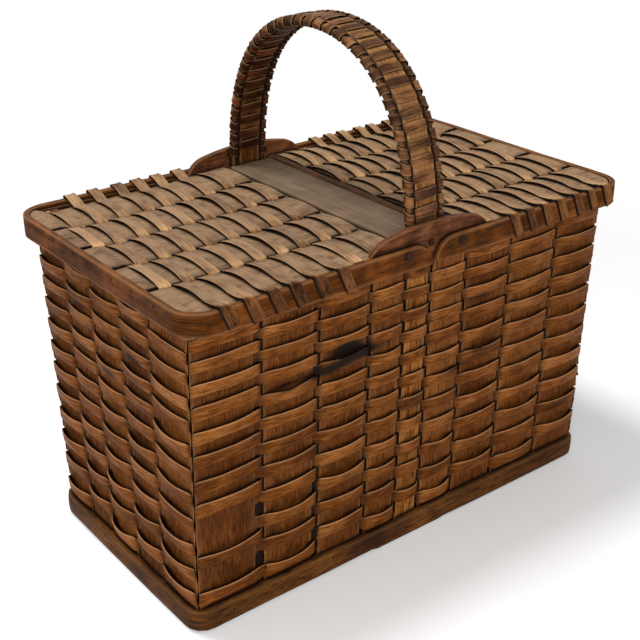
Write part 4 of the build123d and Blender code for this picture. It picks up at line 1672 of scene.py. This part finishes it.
        # Darker tone and heavy darkening: painted shade, as the hoop sits low inside the band
        pile.add(Splint(
            line, UP, -half, half, self.hoop_thickness, columns=3,
            tone=-0.2, grime_and_shade=0.55, weather=0.1, inset=0.3,
        ))
        name = f"{self.word}_lid_inner_hoop"
        pile.make(name, LID_BAND, self.body, "lid_band_wood", f"{self.word}_lid_hoop")

    def build_strips(self) -> None:
        """Builds the wide strips, which arch across their width and end in the round corners of the band."""
        pile = SplintPile(self.seed + 3)
        rng = pile.rng
        corner = self.corner - self.band_thickness
        straight = self.strip_reach - corner
        run = np.concatenate((
            np.linspace(self.strips_end, straight, 50),
            straight + corner * np.sin(np.linspace(0.1, np.pi / 2, 14)),
        ))
        into = np.clip((run - straight) / corner, 0, 1)
        limit = self.band_inside - 0.4 - corner * (1 - np.sqrt(1 - into ** 2))
        fade = np.clip((self.panel_end - run) / 30, 0.25, 1)
        spans = self.strip_spans()
        for number, (start, end) in enumerate(spans):
            middle = (start + end) / 2
            height = self.strip_height + self.level(run, middle)
            line = np.column_stack((self.side * run, np.full(len(run), middle), height))
            line[:, 1] += wander(rng, run, wave=180, amount=0.4) * (1 - into)
            inner = (end - start) / 2 - 0.3
            outer_share = {0: self.front_reach_share, len(spans) - 1: 1.0}.get(number, 0.0)
            outer = np.minimum(inner + self.outer_reach * outer_share, limit - abs(middle))
            near, far = (inner, outer) if middle * self.side > 0 else (outer, inner)
            # Painted shade along the strips' edges: a near-black line at each front edge, where a weaver
            # slips out beneath it, a fainter one at each back edge, and almost none on the front strip beside
            # the band
            front_edge_shade = (0.0, 0.0, 0.1) if number == 0 else (0.1, 0.5, 1.8)
            dirt_and_shade = np.tile(((0.4, 0.2, 0.0, 0.0, 0.0, 0.0) + front_edge_shade)[:: -self.side], (len(run), 1))
            pile.add(Splint(
                line, np.array((0, self.side, 0)), -near, far, self.strip_thickness, columns=9,
                cup=self.arch * fade, tone=self.tone + rng.normal(0, 0.1), grime_and_shade=dirt_and_shade, weather=0.85,
            ))
        name = f"{self.word}_lid_wide_strips"
        pile.make(name, LID_STRIP, self.body, "lid_splint", f"{self.word}_lid_strips")

    def weaver_route(self, number: int, place: float) -> np.ndarray:
        """Route of one weaver over and under the strips, from front to back.

        Args:
            number: its number from the lid's outer end. The odd ones start over the front strip.
            place: its distance from the middle of the basket.

        Returns:
            Four columns: y, z, how high it stands in its arch from 0 to 1, and its painted shade where it
                meets the slits.
        """
        rng = self.pile.rng
        gap = (self.strip_thickness + self.weaver_thickness) / 2 + 0.1
        share = eased(13)
        shape = np.sin(np.pi * share) ** 0.7
        from_front = np.exp(-share * self.crossing_length / 1.8)
        from_back = np.exp(-(1 - share) * self.crossing_length / 3.0)
        near_slit = np.exp(-np.minimum(share, 1 - share) * self.crossing_length / 2.0)
        fade = 0.6 if number == 0 else 1.0
        crown = self.arch * fade * (1 - (2 * share - 1) ** 2)
        parts = []
        for index, (start, end) in enumerate(self.strip_spans()):
            over = (number + index) % 2 == 1
            y = start - self.past_strip + (end - start + 2 * self.past_strip) * share
            z = self.strip_height + self.level(place, (start + end) / 2) + crown
            # The last column is painted shade: dark where a float dives under the next strip, darker at a
            # strip's front edge where the weaver slips beneath it, and a little dark all along the hidden
            # runs
            if over:
                z += gap + rng.uniform(*self.lift) * fade * shape
                parts.append((y, z, shape, 1.3 * from_back))
            else:
                parts.append((y, z - gap, 0 * shape, 0.2 + 0.9 * from_front + 0.1 * near_slit))
        return np.concatenate(parts, axis=1).T

    def tail(self, wrapped: bool, z_last: float, side: int) -> np.ndarray:
        """Points past the last strip: a short end, or a wrap over the band and down its outside.

        Args:
            wrapped: whether it wraps.
            z_last: height of the weaver's last point.
            side: minus one at the front, one at the back.

        Returns:
            The same four columns as of the route, from the weaver outward.
        """
        if not wrapped:
            return np.array(((side * (self.weave_half_width + self.outer_reach), z_last, 0.0, 0.0),))
        lift = self.wrap_lift + self.weaver_thickness / 2
        inside, outside = self.band_inside - 0.4, self.band_inside + self.band_thickness + lift
        reach = self.wrap_reach - self.pile.rng.uniform(0, self.wrap_shorter)
        down = [(outside, self.top - drop) for drop in (0.6, 5, reach / 2, reach)]
        first = [(self.weave_half_width + 2.6, self.top - 0.2), (inside, self.top + lift)]
        points = first + [(outside - 1.0, self.top + lift)] + down
        return np.array([(side * y, z, 0.35, 0.0) for y, z in points])

    def build_weavers(self) -> None:
        """Builds the narrow weavers and their wraps over the band."""
        rng = self.pile.rng
        outer = self.panel_end - self.weave_end_gap
        pitch = (outer - self.inner_end) / self.weavers
        for number in range(self.weavers):
            middle = outer - (number + 0.5) * pitch + rng.normal(0, 0.5)
            route = self.weaver_route(number, middle)
            in_front, behind = number in self.front_wraps, number in self.back_wraps
            front = self.tail(in_front, route[0, 1], -1)
            back = self.tail(behind, route[-1, 1], 1)
            first, last = self.wrapped_points * in_front, len(route) - self.wrapped_points * behind
            y, z, high, dirt_and_shade = rounded(np.concatenate((front[::-1], route[first:last], back)), 1).T
            x = middle + rng.normal(0, 1.0) * y / 120 + wander(rng, y, wave=150, amount=0.7)
            line = np.column_stack((self.side * x, y, z))
            half = (pitch - self.weaver_gap) / 2 + rng.uniform(-0.2, 0.3)
            tilt = rng.uniform(0.08, 0.3) * high
            across = np.column_stack((np.ones(len(line)), np.zeros(len(line)), -tilt))
            tone = self.tone + rng.normal(0, 0.14) + wander(rng, y, wave=90, amount=0.12)
            on_band = np.clip((np.abs(y) - self.band_inside - 1) / 4, 0, 1)
            line[:, 0] += self.tab_slant * on_band * np.clip(self.top - z, 0, None)
            # Painted shadow: a near-black line down the left edge of each tab on the band
            tab_edge_shade = on_band[:, None] * np.array((2.0, 0.3, 0.1, 0.05, 0.05, 0.2))
            self.pile.add(Splint(
                line, across, -half, half, self.weaver_thickness, columns=6, cup=0.15,
                tone=tone - 0.04 * on_band, grime_and_shade=dirt_and_shade[:, None] + tab_edge_shade,
                weather=np.clip(high * 1.3, 0, 0.95) * (1 - on_band) - on_band,
            ))
        name = f"{self.word}_lid_narrow_weavers"
        self.pile.make(name, LID_WEAVER, self.body, "lid_splint", f"{self.word}_lid_weavers")

    def build(self) -> None:
        """Builds the lid with its tacks and hinge nails."""
        self.build_band()
        self.build_hoop()
        self.build_strips()
        self.build_weavers()
        outer, height = self.side * (self.end + 0.1), self.top - self.tack_drop
        places = [((outer, y, height + self.pile.rng.uniform(-1, 1)), (self.side, 0, 0)) for y in self.tacks]
        Tacks(f"{self.word}_band_tacks", radius=1.4, body=self.body).build(places)
        dress_node(f"{self.word}_pivot_nails", IRON, edge=0.35)


@dataclass
class FrameDress:
    """Finishes for the nodes of the frame that keep their own shape."""

    nail_edge: float = 0.35
    board_edge: float = 0.6
    bar_edge: float = 0.8
    plate_edge: float = 1.0
    splint_edge: float = 0.3

    def build(self) -> None:
        """Dresses the nodes."""
        for node in ("inner_rim_hoop", "left_rim_hoop", "right_rim_hoop"):
            dress_node(node, RIM, self.bar_edge)
        for node in ("front_crescent", "back_crescent"):
            dress_node(node, CRESCENT, self.plate_edge, segments=3)
        dress_node("crescent_nails", IRON, self.nail_edge)
        dress_node("centre_board", BOARD, self.board_edge)
        dress_node("left_hinge_strip", HINGE_STRIP, self.bar_edge)
        dress_node("right_hinge_rod", HINGE_ROD, self.bar_edge)
        dress_node("floor_cross_splints", FLOOR_CROSS, self.splint_edge)
        dress_node("floor_long_splints", FLOOR_LONG, self.splint_edge)


class Lamp(NamedTuple):
    """A round soft lamp: its name, its place and size in metres, and its power in watts."""

    name: str
    place: tuple[float, float, float]
    size: float
    power: float


@dataclass
class Studio:
    """White floor, soft lamps and the camera where the photograph was taken from."""

    place: tuple[float, float, float] = (-590.06, -753.57, 634.29)
    right: tuple[float, float, float] = (0.79070, -0.61217, -0.00591)
    up: tuple[float, float, float] = (0.27161, 0.34214, 0.89954)
    forward: tuple[float, float, float] = (0.54865, 0.71287, -0.43680)
    focal_px: float = 1178.9
    image_px: int = 640
    sensor_mm: float = 36.0
    world_light: float = 0.4
    floor_reach: float = 6.0
    lamp_aim: tuple[float, float, float] = (0, 0, 0.18)
    lamps: tuple[Lamp, ...] = (
        Lamp("key_lamp", (-1.22, -1.55, 1.0), 0.8, 37.5),
        Lamp("top_lamp", (-0.28, 0.3, 1.8), 0.4, 17.0),
        Lamp("back_lamp", (-0.7, 1.4, 1.5), 0.9, 9.0),
    )

    def build_camera(self) -> None:
        """Sets the camera."""
        data = bpy.data.cameras.new("camera")
        data.sensor_width = self.sensor_mm
        data.lens = self.focal_px / self.image_px * data.sensor_width
        data.clip_start, data.clip_end = 0.05, 30.0
        camera = bpy.data.objects.new("camera", data)
        bpy.context.scene.collection.objects.link(camera)
        axes = Matrix((self.right, self.up, [-c for c in self.forward])).transposed()
        camera.matrix_world = Matrix.Translation(Vector(self.place) * MM) @ axes.to_4x4()
        bpy.context.scene.camera = camera

    def build_lamps(self) -> None:
        """Adds the soft lamps, all aimed at the basket."""
        for lamp in self.lamps:
            data = bpy.data.lights.new(lamp.name, "AREA")
            data.shape = "DISK"
            data.size = lamp.size
            data.energy = lamp.power
            shown = bpy.data.objects.new(lamp.name, data)
            bpy.context.scene.collection.objects.link(shown)
            shown.location = lamp.place
            aim = Vector(self.lamp_aim) - Vector(lamp.place)
            shown.rotation_euler = aim.to_track_quat("-Z", "Y").to_euler()

    def build_world(self) -> None:
        """Lights the scene evenly and shows white behind it."""
        world = bpy.data.worlds.new("studio")
        bpy.context.scene.world = world
        world.use_nodes = True
        tree = world.node_tree
        tree.nodes.clear()
        soft, white = (
            add_node(tree, "ShaderNodeBackground", {"Color": linear("#FFFFFF"), "Strength": strength})
            for strength in (self.world_light, 1.0)
        )
        mix = add_node(tree, "ShaderNodeMixShader", None, {0: showing_rays(tree), 1: soft, 2: white})
        add_node(tree, "ShaderNodeOutputWorld", None, {"Surface": mix})

    def build_floor(self) -> None:
        """Adds a floor of white paper that keeps the basket's shadow."""
        mesh = bpy.data.meshes.new("floor")
        reach = self.floor_reach
        corners = [(x * reach, y * reach, 0) for x, y in ((-1, -1), (1, -1), (1, 1), (-1, 1))]
        mesh.from_pydata(corners, [], [(0, 1, 2, 3)])
        mesh.materials.append(PAPER.material())
        floor = bpy.data.objects.new("floor", mesh)
        bpy.context.scene.collection.objects.link(floor)

    def build(self) -> None:
        """Builds the whole studio."""
        self.build_camera()
        self.build_lamps()
        self.build_world()
        self.build_floor()
        bpy.context.scene.view_settings.view_transform = "Standard"


def main() -> None:
    """Builds the basket and its studio."""
    logging.basicConfig(level=logging.INFO, format="%(name)s %(message)s")
    walls = WallSizes()
    Studio().build()
    BaseHoop(walls).build()
    Uprights(walls).build()
    WallWeave(walls).build()
    Handle(walls).build()
    Lid(
        Body.LEFT_LID, weavers=17, inner_end=34.7, strips_end=27.0,
        front_wraps=range(1, 12, 2), back_wraps=range(3, 14, 2), seed=61,
    ).build()
    Lid(
        Body.RIGHT_LID, weavers=19, inner_end=33.7, strips_end=33.7,
        # tone lifts the right lid as painted light, against the shade that falls on it
        front_wraps=range(1, 14, 2), back_wraps=range(1, 14, 2), seed=71, tone=0.14,
    ).build()
    FrameDress().build()


if __name__ == "__main__":
    main()
